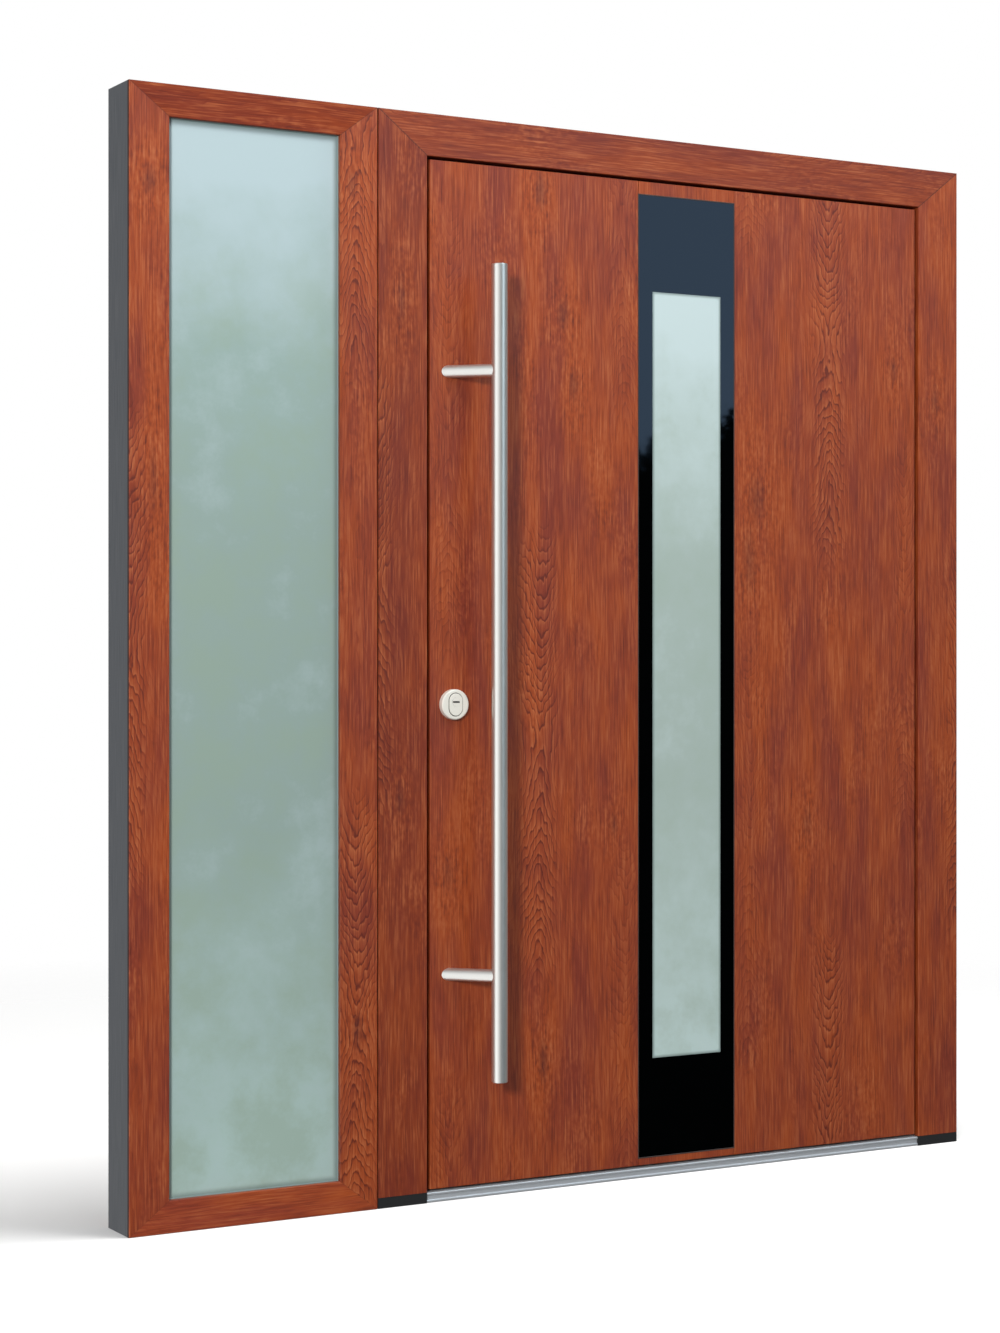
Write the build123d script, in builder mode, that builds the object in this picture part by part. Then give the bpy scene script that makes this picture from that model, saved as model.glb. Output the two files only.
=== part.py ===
from build123d import *
from math import atan2, cos, degrees, radians, sin, tan
import os

# Entrance door with a glazed sidelight. Lengths are in millimetres.
# X runs to the right as seen from outside, Y into the house and Z up.
# The origin is on the underside of the threshold, at mid width and mid depth of the frame.

# Whole element
overall_height = 2130.0
sidelight_width = 513.0
coupling_width = 2.0
door_frame_width = 1430.0
frame_depth = 104.0
edge_radius = 1.5

# Sidelight frame, glass and beads
side_stile_face = 80.0
side_rail_face = 61.0
side_lip_depth = 9.0
glazing_rebate = 20.0
glass_edge_gap = 5.0
gasket_thickness = 3.0
gasket_inset = 1.5
gasket_width = 9.0
pane_thickness = 6.0
pane_cavity = 32.0
spacer_width = 9.0
bead_recess = 5.0
bead_joint = 0.3

# Coupling between sidelight and door frame
coupling_recess = 5.0

# Door frame
jamb_face = 107.0
head_face = 83.0
stop_depth = 34.0
stop_width = 26.0
seal_thickness = 3.5
seal_width = 12.0
seal_inset = 5.0

# Threshold and the blocks under the jambs
threshold_height = 21.0
threshold_nose_height = 19.5
threshold_nose_face = 5.5
threshold_foot_face = 6.0
threshold_web_recess = 2.5
threshold_recess = 3.0
threshold_slope_depth = 26.0
threshold_sill_depth = 40.0
threshold_edge_radius = 2.0
tread_grooves = 3
tread_pitch = 6.0
tread_groove_width = 3.0
tread_groove_depth = 1.2
block_recess = 1.0
break_height = 17.0

# Leaf
side_gap = 8.0
stop_gap = 9.0
leaf_floor_gap = 5.0
leaf_recess = 4.0
skin_thickness = 4.0
sash_face = 80.0
bottom_rail_face = 110.0

# Glass strip in the leaf, placed from the leaf's outer edges
strip_from_lock_edge = 485.0
strip_width = 237.0
strip_top_margin = 27.0
strip_bottom_margin = 15.0
strip_joint = 1.0
window_side_margin = 34.0
window_top_margin = 197.0
window_bottom_margin = 202.0
window_joint = 0.3
window_frame_bite = 8.0
window_frame_width = 22.0

# Lock, placed from the leaf's lock edge and the floor
lock_backset = 51.0
lock_height = 974.0
rosette_radius = 30.0
rosette_thickness = 12.0
rosette_rim = 3.0
cover_width = 29.0
cover_height = 44.0
cover_proud = 2.0
cover_rim = 1.0
cover_joint = 0.7
plug_radius = 8.5
plug_rise = 5.0
plug_length = 34.0
plug_proud = 0.5
plug_clearance = 0.08
keyway_width = 15.0
keyway_height = 3.4
keyway_depth = 28.0

# Bar handle
bar_radius = 16.0
bar_length = 1600.0
bar_bottom = 236.0
bar_end_rim = 2.0
bar_projection = 72.0
support_radius = 12.5
support_end_distance = 208.0
support_backset = 44.0
support_lean = 45.0

# Inside fittings
inner_rosette_radius = 26.0
inner_rosette_thickness = 9.0
inner_rosette_rim = 2.0
lever_rise = 92.0
lever_radius = 10.0
lever_reach = 52.0
lever_bend = 20.0
lever_length = 135.0
lever_end_rim = 2.0
inner_plug_radius = 8.0
inner_plug_length = 2.0

# Lock edge of the leaf and the strike plate opposite
faceplate_width = 24.0
faceplate_margin = 60.0
faceplate_thickness = 3.0
bolt_width = 14.0
latch_length = 28.0
deadbolt_length = 36.0
hook_length = 46.0
hook_distance = 730.0
bolt_depth = 12.0
bolt_joint = 0.3
strike_width = 26.0
strike_length = 230.0
strike_thickness = 3.0

# Hinges
hinge_radius = 11.0
hinge_pin_radius = 5.0
hinge_pin_clearance = 0.05
hinge_face_gap = 1.5
hinge_knuckle = 40.0
hinge_knuckle_gap = 1.0
hinge_plate_thickness = 4.0
hinge_plate_width = 34.0
hinge_plate_gap = 2.0
hinge_low = 260.0
hinge_mid = 1100.0
hinge_high = 1800.0

# Planes that the rest is measured from
overall_width = sidelight_width + coupling_width + door_frame_width
left = -overall_width / 2
right = overall_width / 2
front = -frame_depth / 2
back = frame_depth / 2
sidelight_right = left + sidelight_width
door_left = sidelight_right + coupling_width

# Openings as (left, right, bottom, top)
side_opening = (
    left + side_stile_face,
    sidelight_right - side_stile_face,
    side_rail_face,
    overall_height - side_rail_face,
)
door_opening = (
    door_left + jamb_face,
    right - jamb_face,
    threshold_height,
    overall_height - head_face,
)

# A step across a stile meets the same step on the rail at the mitre, so it is scaled there
side_slope = side_rail_face / side_stile_face
door_slope = head_face / jamb_face


def street_plane(y):
    """A plane at depth y that faces the street, with X across and Z up."""
    return Plane.XZ.offset(-y)


def grown(rectangle, by, slope):
    """The rectangle moved out by the given amount at its stiles, and to the mitre at its rails."""
    x0, x1, z0, z1 = rectangle
    return (x0 - by, x1 + by, z0 - by * slope, z1 + by * slope)


def sheet(rectangle, front_y, rear_y, hole=None):
    """A flat plate between two depths, with an optional rectangular hole."""
    x0, x1, z0, z1 = rectangle
    with BuildPart() as plate:
        with BuildSketch(street_plane(rear_y)):
            with Locations(((x0 + x1) / 2, (z0 + z1) / 2)):
                Rectangle(x1 - x0, z1 - z0)
            if hole:
                h0, h1, v0, v1 = hole
                with Locations(((h0 + h1) / 2, (v0 + v1) / 2)):
                    Rectangle(h1 - h0, v1 - v0, mode=Mode.SUBTRACT)
        extrude(amount=rear_y - front_y)
    return plate.part


def mitre(opening, side, end, stile_face, rail_face):
    """The mitre plane through one corner of an opening, facing the rail."""
    x = opening[0] if side < 0 else opening[1]
    z = opening[2] if end < 0 else opening[3]
    facing = (-side * rail_face, 0, end * stile_face)
    return Plane(origin=(x, 0, z), x_dir=(0, 1, 0), z_dir=facing)


def rebated(edge, outward, face, lip, rebate):
    """Section of a frame member as (across, depth) points: a lip in front of a rebate."""
    outer = edge + outward * face
    wall = edge + outward * rebate
    return [
        (outer, front),
        (edge, front),
        (edge, front + lip),
        (wall, front + lip),
        (wall, back),
        (outer, back),
    ]


def upright(section, bottom, top, cuts, rounded=True):
    """A vertical member with the given plan section, trimmed by mitre planes."""
    with BuildPart() as member:
        with BuildSketch(Plane.XY.offset(bottom)):
            with BuildLine():
                Polyline(*section, close=True)
            make_face()
        extrude(amount=top - bottom)
        if rounded:
            long_edges = member.edges().filter_by(Axis.Z).group_by(Axis.Y)
            fillet(long_edges[0] + long_edges[-1], edge_radius)
        for cut in cuts:
            split(bisect_by=cut, keep=Keep.BOTTOM)
    return member.part


def crossbar(section, start, stop, cuts, rounded=True):
    """A horizontal member with the given (height, depth) section, trimmed by mitre planes."""
    with BuildPart() as member:
        with BuildSketch(Plane.YZ.offset(start)):
            with BuildLine():
                Polyline(*[(depth, height) for height, depth in section], close=True)
            make_face()
        extrude(amount=stop - start)
        if rounded:
            long_edges = member.edges().filter_by(Axis.X).group_by(Axis.Y)
            fillet(long_edges[0] + long_edges[-1], edge_radius)
        for cut in cuts:
            split(bisect_by=cut, keep=Keep.TOP)
    return member.part


def disc(x, z, rear_y, front_y, radius, rim):
    """A round plate that faces the street, with a rounded front rim."""
    with BuildPart() as plate:
        with BuildSketch(street_plane(rear_y)):
            with Locations((x, z)):
                Circle(radius)
        extrude(amount=rear_y - front_y)
        fillet(plate.edges().group_by(Axis.Y)[0], rim)
    return plate.part


os.makedirs("parts", exist_ok=True)


def save(part, name):
    """Name a piece and write its file."""
    part.label = name
    export_step(part, f"parts/{name}.step")


# Sidelight frame: four mitred members with a glazing rebate
for place, side in (("left", -1), ("right", 1)):
    inner_edge = side_opening[0] if side < 0 else side_opening[1]
    section = rebated(inner_edge, side, side_stile_face, side_lip_depth, glazing_rebate)
    cuts = [mitre(side_opening, side, end, side_stile_face, side_rail_face) for end in (-1, 1)]
    save(upright(section, 0, overall_height, cuts), f"sidelight_stile_{place}")

for place, end in (("sill", -1), ("head", 1)):
    inner_edge = side_opening[2] if end < 0 else side_opening[3]
    rail_rebate = glazing_rebate * side_slope
    section = rebated(inner_edge, end, side_rail_face, side_lip_depth, rail_rebate)
    cuts = [mitre(side_opening, side, end, side_stile_face, side_rail_face) for side in (-1, 1)]
    save(crossbar(section, left, sidelight_right, cuts), f"sidelight_{place}")

# Sidelight glazing, from the street to the house
glass_edge = grown(side_opening, glazing_rebate - glass_edge_gap, side_slope)
gasket_outer_edge = grown(side_opening, gasket_inset + gasket_width, side_slope)
gasket_inner_edge = grown(side_opening, gasket_inset, side_slope)
outer_gasket_front = front + side_lip_depth
outer_pane_front = outer_gasket_front + gasket_thickness
cavity_front = outer_pane_front + pane_thickness
inner_pane_front = cavity_front + pane_cavity
inner_gasket_front = inner_pane_front + pane_thickness
bead_front = inner_gasket_front + gasket_thickness
bead_back = back - bead_recess

save(
    sheet(gasket_outer_edge, outer_gasket_front, outer_pane_front, gasket_inner_edge),
    "sidelight_outer_gasket",
)
save(sheet(glass_edge, outer_pane_front, cavity_front), "sidelight_outer_pane")
save(
    sheet(glass_edge, cavity_front, inner_pane_front, grown(glass_edge, -spacer_width, side_slope)),
    "sidelight_spacer",
)
save(sheet(glass_edge, inner_pane_front, inner_gasket_front), "sidelight_inner_pane")
save(
    sheet(gasket_outer_edge, inner_gasket_front, bead_front, gasket_inner_edge),
    "sidelight_inner_gasket",
)

# Glazing beads: the upright ones run through and the level ones stand between them
bead_edge = grown(side_opening, glazing_rebate, side_slope)
with BuildPart() as beads:
    with BuildSketch(street_plane(bead_back)):
        for x0, x1 in ((bead_edge[0], side_opening[0]), (side_opening[1], bead_edge[1])):
            with Locations(((x0 + x1) / 2, (bead_edge[2] + bead_edge[3]) / 2)):
                Rectangle(x1 - x0, bead_edge[3] - bead_edge[2])
        for z0, z1 in ((bead_edge[2], side_opening[2]), (side_opening[3], bead_edge[3])):
            with Locations(((side_opening[0] + side_opening[1]) / 2, (z0 + z1) / 2)):
                Rectangle(side_opening[1] - side_opening[0] - 2 * bead_joint, z1 - z0)
    extrude(amount=bead_back - bead_front)
save(beads.part, "sidelight_beads")

# Coupling strip, set back behind both frames
save(
    sheet(
        (sidelight_right, door_left, 0, overall_height - coupling_recess),
        front + coupling_recess,
        back - coupling_recess,
    ),
    "coupling_strip",
)

# Threshold: a sill with a grooved tread, whose front has a nose and a foot with a hollow between them,
# and a thermal break behind it
sill_front = front + threshold_recess
sill_back = sill_front + threshold_sill_depth
sill_slope_end = sill_front + threshold_slope_depth
threshold_web_top = threshold_nose_height - threshold_nose_face
tread_slope = degrees(atan2(threshold_height - threshold_nose_height, threshold_slope_depth))
tread_middle = ((sill_front + sill_slope_end) / 2, (threshold_nose_height + threshold_height) / 2)
with BuildPart() as threshold_sill:
    with BuildSketch(Plane.YZ.offset(door_opening[0])):
        with BuildLine():
            Polyline(
                (sill_front, 0),
                (sill_front, threshold_nose_height),
                (sill_slope_end, threshold_height),
                (sill_back, threshold_height),
                (sill_back, 0),
                close=True,
            )
        make_face()
        with Locations((sill_front, (threshold_foot_face + threshold_web_top) / 2)):
            Rectangle(2 * threshold_web_recess, threshold_web_top - threshold_foot_face, mode=Mode.SUBTRACT)
        fillet(vertices().group_by(Axis.X)[0], threshold_edge_radius)
        with Locations(Location((*tread_middle, 0), (0, 0, tread_slope))):
            with GridLocations(tread_pitch, 0, tread_grooves, 1):
                Rectangle(tread_groove_width, 2 * tread_groove_depth, mode=Mode.SUBTRACT)
    extrude(amount=door_opening[1] - door_opening[0])
save(threshold_sill.part, "threshold_sill")

with BuildPart() as threshold_break:
    with BuildSketch(Plane.YZ.offset(door_opening[0])):
        with Locations(((sill_back + back - block_recess) / 2, break_height / 2)):
            Rectangle(back - block_recess - sill_back, break_height)
    extrude(amount=door_opening[1] - door_opening[0])
save(threshold_break.part, "threshold_break")

# Black blocks that carry the jambs beside the threshold
with BuildPart() as threshold_blocks:
    with BuildSketch():
        for x0, x1 in ((door_left, door_opening[0]), (door_opening[1], right)):
            with Locations(((x0 + x1) / 2, 0)):
                Rectangle(x1 - x0, frame_depth - 2 * block_recess)
    extrude(amount=threshold_height)
save(threshold_blocks.part, "threshold_end_blocks")

# Leaf outlines in front of the stop and behind it
leaf_bottom = threshold_height + leaf_floor_gap
leaf_front = (
    door_opening[0] + side_gap,
    door_opening[1] - side_gap,
    leaf_bottom,
    door_opening[3] - side_gap * door_slope,
)
leaf_rear = (
    door_opening[0] - stop_width + side_gap,
    door_opening[1] + stop_width - side_gap,
    leaf_bottom,
    door_opening[3] + (stop_width - side_gap) * door_slope,
)
leaf_face = front + leaf_recess
leaf_back = back - leaf_recess
sash_front = leaf_face + skin_thickness
sash_back = leaf_back - skin_thickness
sash_step = front + stop_depth + stop_gap
lock_edge_y = (sash_step + leaf_back) / 2

# Lock and handle positions
lock_x = leaf_front[0] + lock_backset
plug_z = lock_height + plug_rise
support_x = leaf_front[0] + support_backset
bar_x = support_x + bar_projection * tan(radians(support_lean))
bar_y = leaf_face - bar_projection
bar_top = bar_bottom + bar_length

# Jambs, with the strike plate let into the lock jamb
strike_wall = door_opening[0] - stop_width
for place, side in (("lock", -1), ("hinge", 1)):
    inner_edge = door_opening[0] if side < 0 else door_opening[1]
    section = rebated(inner_edge, side, jamb_face, stop_depth, stop_width)
    cuts = [mitre(door_opening, side, 1, jamb_face, head_face)]
    with BuildPart() as jamb:
        add(upright(section, threshold_height, overall_height, cuts))
        if side < 0:
            with Locations((strike_wall, lock_edge_y, lock_height)):
                Box(
                    strike_thickness,
                    strike_width,
                    strike_length,
                    align=(Align.MAX, Align.CENTER, Align.CENTER),
                    mode=Mode.SUBTRACT,
                )
    save(jamb.part, f"jamb_{place}")

# Head of the door frame
section = rebated(door_opening[3], 1, head_face, stop_depth, stop_width * door_slope)
cuts = [mitre(door_opening, side, 1, jamb_face, head_face) for side in (-1, 1)]
save(crossbar(section, door_left, right, cuts), "door_head")

# Stop seal on the back of the frame's lip, round the two jambs and the head
seal_outer = grown(door_opening, seal_inset + seal_width, door_slope)
seal_inner = grown(door_opening, seal_inset, door_slope)
with BuildPart() as frame_seal:
    with BuildSketch(street_plane(front + stop_depth + seal_thickness)):
        with BuildLine():
            Polyline(
                (seal_outer[0], threshold_height),
                (seal_outer[0], seal_outer[3]),
                (seal_outer[1], seal_outer[3]),
                (seal_outer[1], threshold_height),
                (seal_inner[1], threshold_height),
                (seal_inner[1], seal_inner[3]),
                (seal_inner[0], seal_inner[3]),
                (seal_inner[0], threshold_height),
                close=True,
            )
        make_face()
    extrude(amount=seal_thickness)
save(frame_seal.part, "frame_seal")

# Strike plate with an opening for each bolt
latch_z = lock_height + lever_rise
with BuildPart() as strike_plate:
    with BuildSketch(Plane.YZ.offset(strike_wall)):
        with Locations((lock_edge_y, lock_height)):
            Rectangle(strike_width, strike_length)
        for z, length in ((lock_height, deadbolt_length), (latch_z, latch_length)):
            with Locations((lock_edge_y, z)):
                Rectangle(bolt_width, length, mode=Mode.SUBTRACT)
    extrude(amount=-strike_thickness)
save(strike_plate.part, "strike_plate")

# Sash of the leaf: two stepped stiles, a stepped top rail on mitres and a plain bottom rail
bolt_places = (
    (lock_height, deadbolt_length),
    (latch_z, latch_length),
    (lock_height - hook_distance, hook_length),
    (lock_height + hook_distance, hook_length),
)
faceplate_length = 2 * hook_distance + hook_length + 2 * faceplate_margin


def stepped(front_edge, rear_edge, inner_edge):
    """Section of a sash member as (across, depth) points, wider behind the frame's lip."""
    return [
        (inner_edge, sash_front),
        (front_edge, sash_front),
        (front_edge, sash_step),
        (rear_edge, sash_step),
        (rear_edge, sash_back),
        (inner_edge, sash_back),
    ]


for place, side, index in (("lock", -1, 0), ("hinge", 1, 1)):
    inner_edge = leaf_front[index] - side * sash_face
    section = stepped(leaf_front[index], leaf_rear[index], inner_edge)
    cuts = [mitre(door_opening, side, 1, jamb_face, head_face)]
    with BuildPart() as stile:
        add(upright(section, leaf_bottom, leaf_rear[3], cuts, rounded=False))
        if side < 0:
            with Locations((leaf_rear[0], lock_edge_y, lock_height)):
                Box(
                    faceplate_thickness,
                    faceplate_width,
                    faceplate_length,
                    align=(Align.MIN, Align.CENTER, Align.CENTER),
                    mode=Mode.SUBTRACT,
                )
            for z, length in bolt_places:
                with Locations((leaf_rear[0], lock_edge_y, z)):
                    Box(
                        bolt_depth,
                        bolt_width,
                        length,
                        align=(Align.MIN, Align.CENTER, Align.CENTER),
                        mode=Mode.SUBTRACT,
                    )
            with BuildSketch(street_plane(sash_front + plug_length)):
                with Locations((lock_x, plug_z)):
                    Circle(plug_radius + plug_clearance)
            extrude(amount=plug_length, mode=Mode.SUBTRACT)
    save(stile.part, f"sash_stile_{place}")

top_rail_inner = leaf_front[3] - sash_face * door_slope
section = stepped(leaf_front[3], leaf_rear[3], top_rail_inner)
cuts = [mitre(door_opening, side, 1, jamb_face, head_face) for side in (-1, 1)]
save(crossbar(section, leaf_rear[0], leaf_rear[1], cuts, rounded=False), "sash_top_rail")

panel = (
    leaf_front[0] + sash_face,
    leaf_front[1] - sash_face,
    leaf_bottom + bottom_rail_face,
    top_rail_inner,
)
save(sheet((panel[0], panel[1], leaf_bottom, panel[2]), sash_front, sash_back), "sash_bottom_rail")

# Glass strip, the window in it and the frame round the window's edge
strip = (
    leaf_front[0] + strip_from_lock_edge,
    leaf_front[0] + strip_from_lock_edge + strip_width,
    leaf_front[2] + strip_bottom_margin,
    leaf_front[3] - strip_top_margin,
)
window = (
    strip[0] + window_side_margin,
    strip[1] - window_side_margin,
    strip[2] + window_bottom_margin,
    strip[3] - window_top_margin,
)
window_pane = grown(window, -window_joint, 1)
window_frame_inner = grown(window, -window_frame_bite, 1)
window_frame_outer = grown(window_frame_inner, window_frame_width, 1)
save(sheet(window_frame_outer, sash_front, sash_back, window_frame_inner), "window_edge_frame")
save(sheet(panel, sash_front, sash_back, window_frame_outer), "panel_core")
save(sheet(strip, leaf_face, sash_front, window), "glass_surround_outer")
save(sheet(window_pane, leaf_face, sash_front), "window_pane_outer")
save(sheet(strip, sash_back, leaf_back, window), "glass_surround_inner")
save(sheet(window_pane, sash_back, leaf_back), "window_pane_inner")

# Outer skin: a board on each side of the glass strip, and one above and below it
with BuildPart() as skin_lock:
    add(sheet((leaf_front[0], strip[0] - strip_joint, leaf_front[2], leaf_front[3]), leaf_face, sash_front))
    with BuildSketch(street_plane(sash_front)):
        with Locations((lock_x, plug_z)):
            Circle(plug_radius + plug_clearance)
    extrude(amount=skin_thickness, mode=Mode.SUBTRACT)
save(skin_lock.part, "outer_skin_lock_side")
save(
    sheet((strip[1] + strip_joint, leaf_front[1], leaf_front[2], leaf_front[3]), leaf_face, sash_front),
    "outer_skin_hinge_side",
)
save(
    sheet((strip[0], strip[1], strip[3] + strip_joint, leaf_front[3]), leaf_face, sash_front),
    "outer_skin_above_glass",
)
save(
    sheet((strip[0], strip[1], leaf_front[2], strip[2] - strip_joint), leaf_face, sash_front),
    "outer_skin_below_glass",
)

# Inner skin: one sheet with an opening for the glass strip
save(sheet(leaf_rear, sash_back, leaf_back, grown(strip, strip_joint, 1)), "inner_skin")

# Lock faceplate and bolts, drawn back flush with the leaf's edge
with BuildPart() as faceplate:
    with BuildSketch(Plane.YZ.offset(leaf_rear[0])):
        with Locations((lock_edge_y, lock_height)):
            Rectangle(faceplate_width, faceplate_length)
        for z, length in bolt_places:
            with Locations((lock_edge_y, z)):
                Rectangle(bolt_width, length, mode=Mode.SUBTRACT)
    extrude(amount=faceplate_thickness)
save(faceplate.part, "lock_faceplate")

with BuildPart() as lock_bolts:
    with BuildSketch(Plane.YZ.offset(leaf_rear[0])):
        for z, length in bolt_places:
            with Locations((lock_edge_y, z)):
                Rectangle(bolt_width - 2 * bolt_joint, length - 2 * bolt_joint)
    extrude(amount=bolt_depth)
save(lock_bolts.part, "lock_bolts")

# Outside rosette with its cover and the key plug
rosette_front = leaf_face - rosette_thickness
with BuildPart() as lock_rosette:
    add(disc(lock_x, lock_height, leaf_face, rosette_front, rosette_radius, rosette_rim))
    with BuildSketch(street_plane(leaf_face)):
        with Locations((lock_x, lock_height)):
            SlotOverall(cover_height + 2 * cover_joint, cover_width + 2 * cover_joint, rotation=90)
    extrude(amount=rosette_thickness, mode=Mode.SUBTRACT)
save(lock_rosette.part, "lock_rosette")

cover_front = rosette_front - cover_proud
with BuildPart() as lock_cover:
    with BuildSketch(street_plane(leaf_face)):
        with Locations((lock_x, lock_height)):
            SlotOverall(cover_height, cover_width, rotation=90)
    extrude(amount=leaf_face - cover_front)
    fillet(lock_cover.edges().group_by(Axis.Y)[0], cover_rim)
    with BuildSketch(street_plane(leaf_face)):
        with Locations((lock_x, plug_z)):
            Circle(plug_radius + plug_clearance)
    extrude(amount=leaf_face - cover_front, mode=Mode.SUBTRACT)
save(lock_cover.part, "lock_cover")

plug_front = cover_front - plug_proud
with BuildPart() as key_plug:
    with BuildSketch(street_plane(plug_front + plug_length)):
        with Locations((lock_x, plug_z)):
            Circle(plug_radius)
    extrude(amount=plug_length)
    with BuildSketch(street_plane(plug_front + keyway_depth)):
        with Locations((lock_x, plug_z)):
            Rectangle(keyway_width, keyway_height)
    extrude(amount=keyway_depth, mode=Mode.SUBTRACT)
save(key_plug.part, "key_plug")

# Bar handle and its two supports, coped to the bar and cut flat on the leaf
with BuildPart() as handle_bar:
    with BuildSketch(Plane.XY.offset(bar_bottom)):
        with Locations((bar_x, bar_y)):
            Circle(bar_radius)
    extrude(amount=bar_length)
    fillet(handle_bar.edges().filter_by(GeomType.CIRCLE), bar_end_rim)
save(handle_bar.part, "handle_bar")

lean = radians(support_lean)
support_length = bar_projection / cos(lean)
for place, z in (("upper", bar_top - support_end_distance), ("lower", bar_bottom + support_end_distance)):
    foot = Plane(origin=(support_x, leaf_face, z), x_dir=(0, 0, 1), z_dir=(sin(lean), -cos(lean), 0))
    with BuildPart() as support:
        with BuildSketch(foot.offset(-support_length)):
            Circle(support_radius)
        extrude(amount=2 * support_length)
        split(bisect_by=street_plane(leaf_face), keep=Keep.TOP)
        with BuildSketch(Plane.XY.offset(z - 2 * support_radius)):
            with Locations((bar_x, bar_y)):
                Circle(bar_radius)
        extrude(amount=4 * support_radius, mode=Mode.SUBTRACT)
    save(support.part, f"handle_support_{place}")

# Inside rosettes and lever
for name, z in (("lever_rosette", latch_z), ("inner_lock_rosette", lock_height)):
    with BuildPart() as inner_rosette:
        with BuildSketch(street_plane(leaf_back)):
            with Locations((lock_x, z)):
                Circle(inner_rosette_radius)
        extrude(amount=-inner_rosette_thickness)
        fillet(inner_rosette.edges().group_by(Axis.Y)[-1], inner_rosette_rim)
        if z == lock_height:
            with BuildSketch(street_plane(leaf_back + inner_rosette_thickness)):
                with Locations((lock_x, z)):
                    Circle(inner_plug_radius)
            extrude(amount=-inner_plug_length)
    save(inner_rosette.part, name)

lever_foot = leaf_back + inner_rosette_thickness
with BuildPart() as lever:
    with BuildLine() as lever_path:
        neck = Line((lock_x, lever_foot, latch_z), (lock_x, lever_foot + lever_reach - lever_bend, latch_z))
        turn = TangentArc(
            neck @ 1,
            (lock_x + lever_bend, lever_foot + lever_reach, latch_z),
            tangent=neck % 1,
        )
        Line(turn @ 1, (lock_x + lever_length, lever_foot + lever_reach, latch_z))
    with BuildSketch(Plane(origin=neck @ 0, z_dir=(0, 1, 0))):
        Circle(lever_radius)
    sweep(path=lever_path.wire())
    fillet(lever.edges().group_by(Axis.X)[-1], lever_end_rim)
save(lever.part, "inside_lever")

# Hinges: the frame halves carry the pins, the leaf halves turn on them
hinge_x = door_opening[1] + stop_width - side_gap / 2
hinge_y = back + hinge_face_gap + hinge_radius
hinge_heights = (hinge_low, hinge_mid, hinge_high)
half_knuckle = hinge_knuckle / 2
frame_knuckle_start = half_knuckle + hinge_knuckle_gap
hinge_half_height = frame_knuckle_start + hinge_knuckle
plate_start = hinge_radius + hinge_plate_gap

with BuildPart() as hinge_frame_halves:
    for z in hinge_heights:
        for start in (z + frame_knuckle_start, z - hinge_half_height):
            with BuildSketch(Plane.XY.offset(start)):
                with Locations((hinge_x, hinge_y)):
                    Circle(hinge_radius)
                with Locations((hinge_x, back)):
                    Rectangle(
                        plate_start + hinge_plate_width,
                        hinge_plate_thickness,
                        align=(Align.MIN, Align.MIN),
                    )
            extrude(amount=hinge_knuckle)
        with BuildSketch(Plane.XY.offset(z - hinge_half_height)):
            with Locations((hinge_x + plate_start, back)):
                Rectangle(hinge_plate_width, hinge_plate_thickness, align=(Align.MIN, Align.MIN))
        extrude(amount=2 * hinge_half_height)
        with BuildSketch(Plane.XY.offset(z - frame_knuckle_start)):
            with Locations((hinge_x, hinge_y)):
                Circle(hinge_pin_radius)
        extrude(amount=2 * frame_knuckle_start)
save(hinge_frame_halves.part, "hinge_frame_halves")

leaf_plate_thickness = back + hinge_plate_thickness - leaf_back
with BuildPart() as hinge_leaf_halves:
    for z in hinge_heights:
        with BuildSketch(Plane.XY.offset(z - half_knuckle)):
            with Locations((hinge_x, hinge_y)):
                Circle(hinge_radius)
            with Locations((hinge_x - side_gap / 2, leaf_back)):
                Rectangle(
                    plate_start + hinge_plate_width - side_gap / 2,
                    leaf_plate_thickness,
                    align=(Align.MAX, Align.MIN),
                )
            with Locations((hinge_x, hinge_y)):
                Circle(hinge_pin_radius + hinge_pin_clearance, mode=Mode.SUBTRACT)
        extrude(amount=hinge_knuckle)
        with BuildSketch(Plane.XY.offset(z - hinge_half_height)):
            with Locations((hinge_x - plate_start, leaf_back)):
                Rectangle(hinge_plate_width, leaf_plate_thickness, align=(Align.MAX, Align.MIN))
        extrude(amount=2 * hinge_half_height)
save(hinge_leaf_halves.part, "hinge_leaf_halves")
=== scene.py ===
import logging
import math
from dataclasses import dataclass, replace
from enum import Enum
from functools import cache, partial
from typing import Protocol

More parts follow.
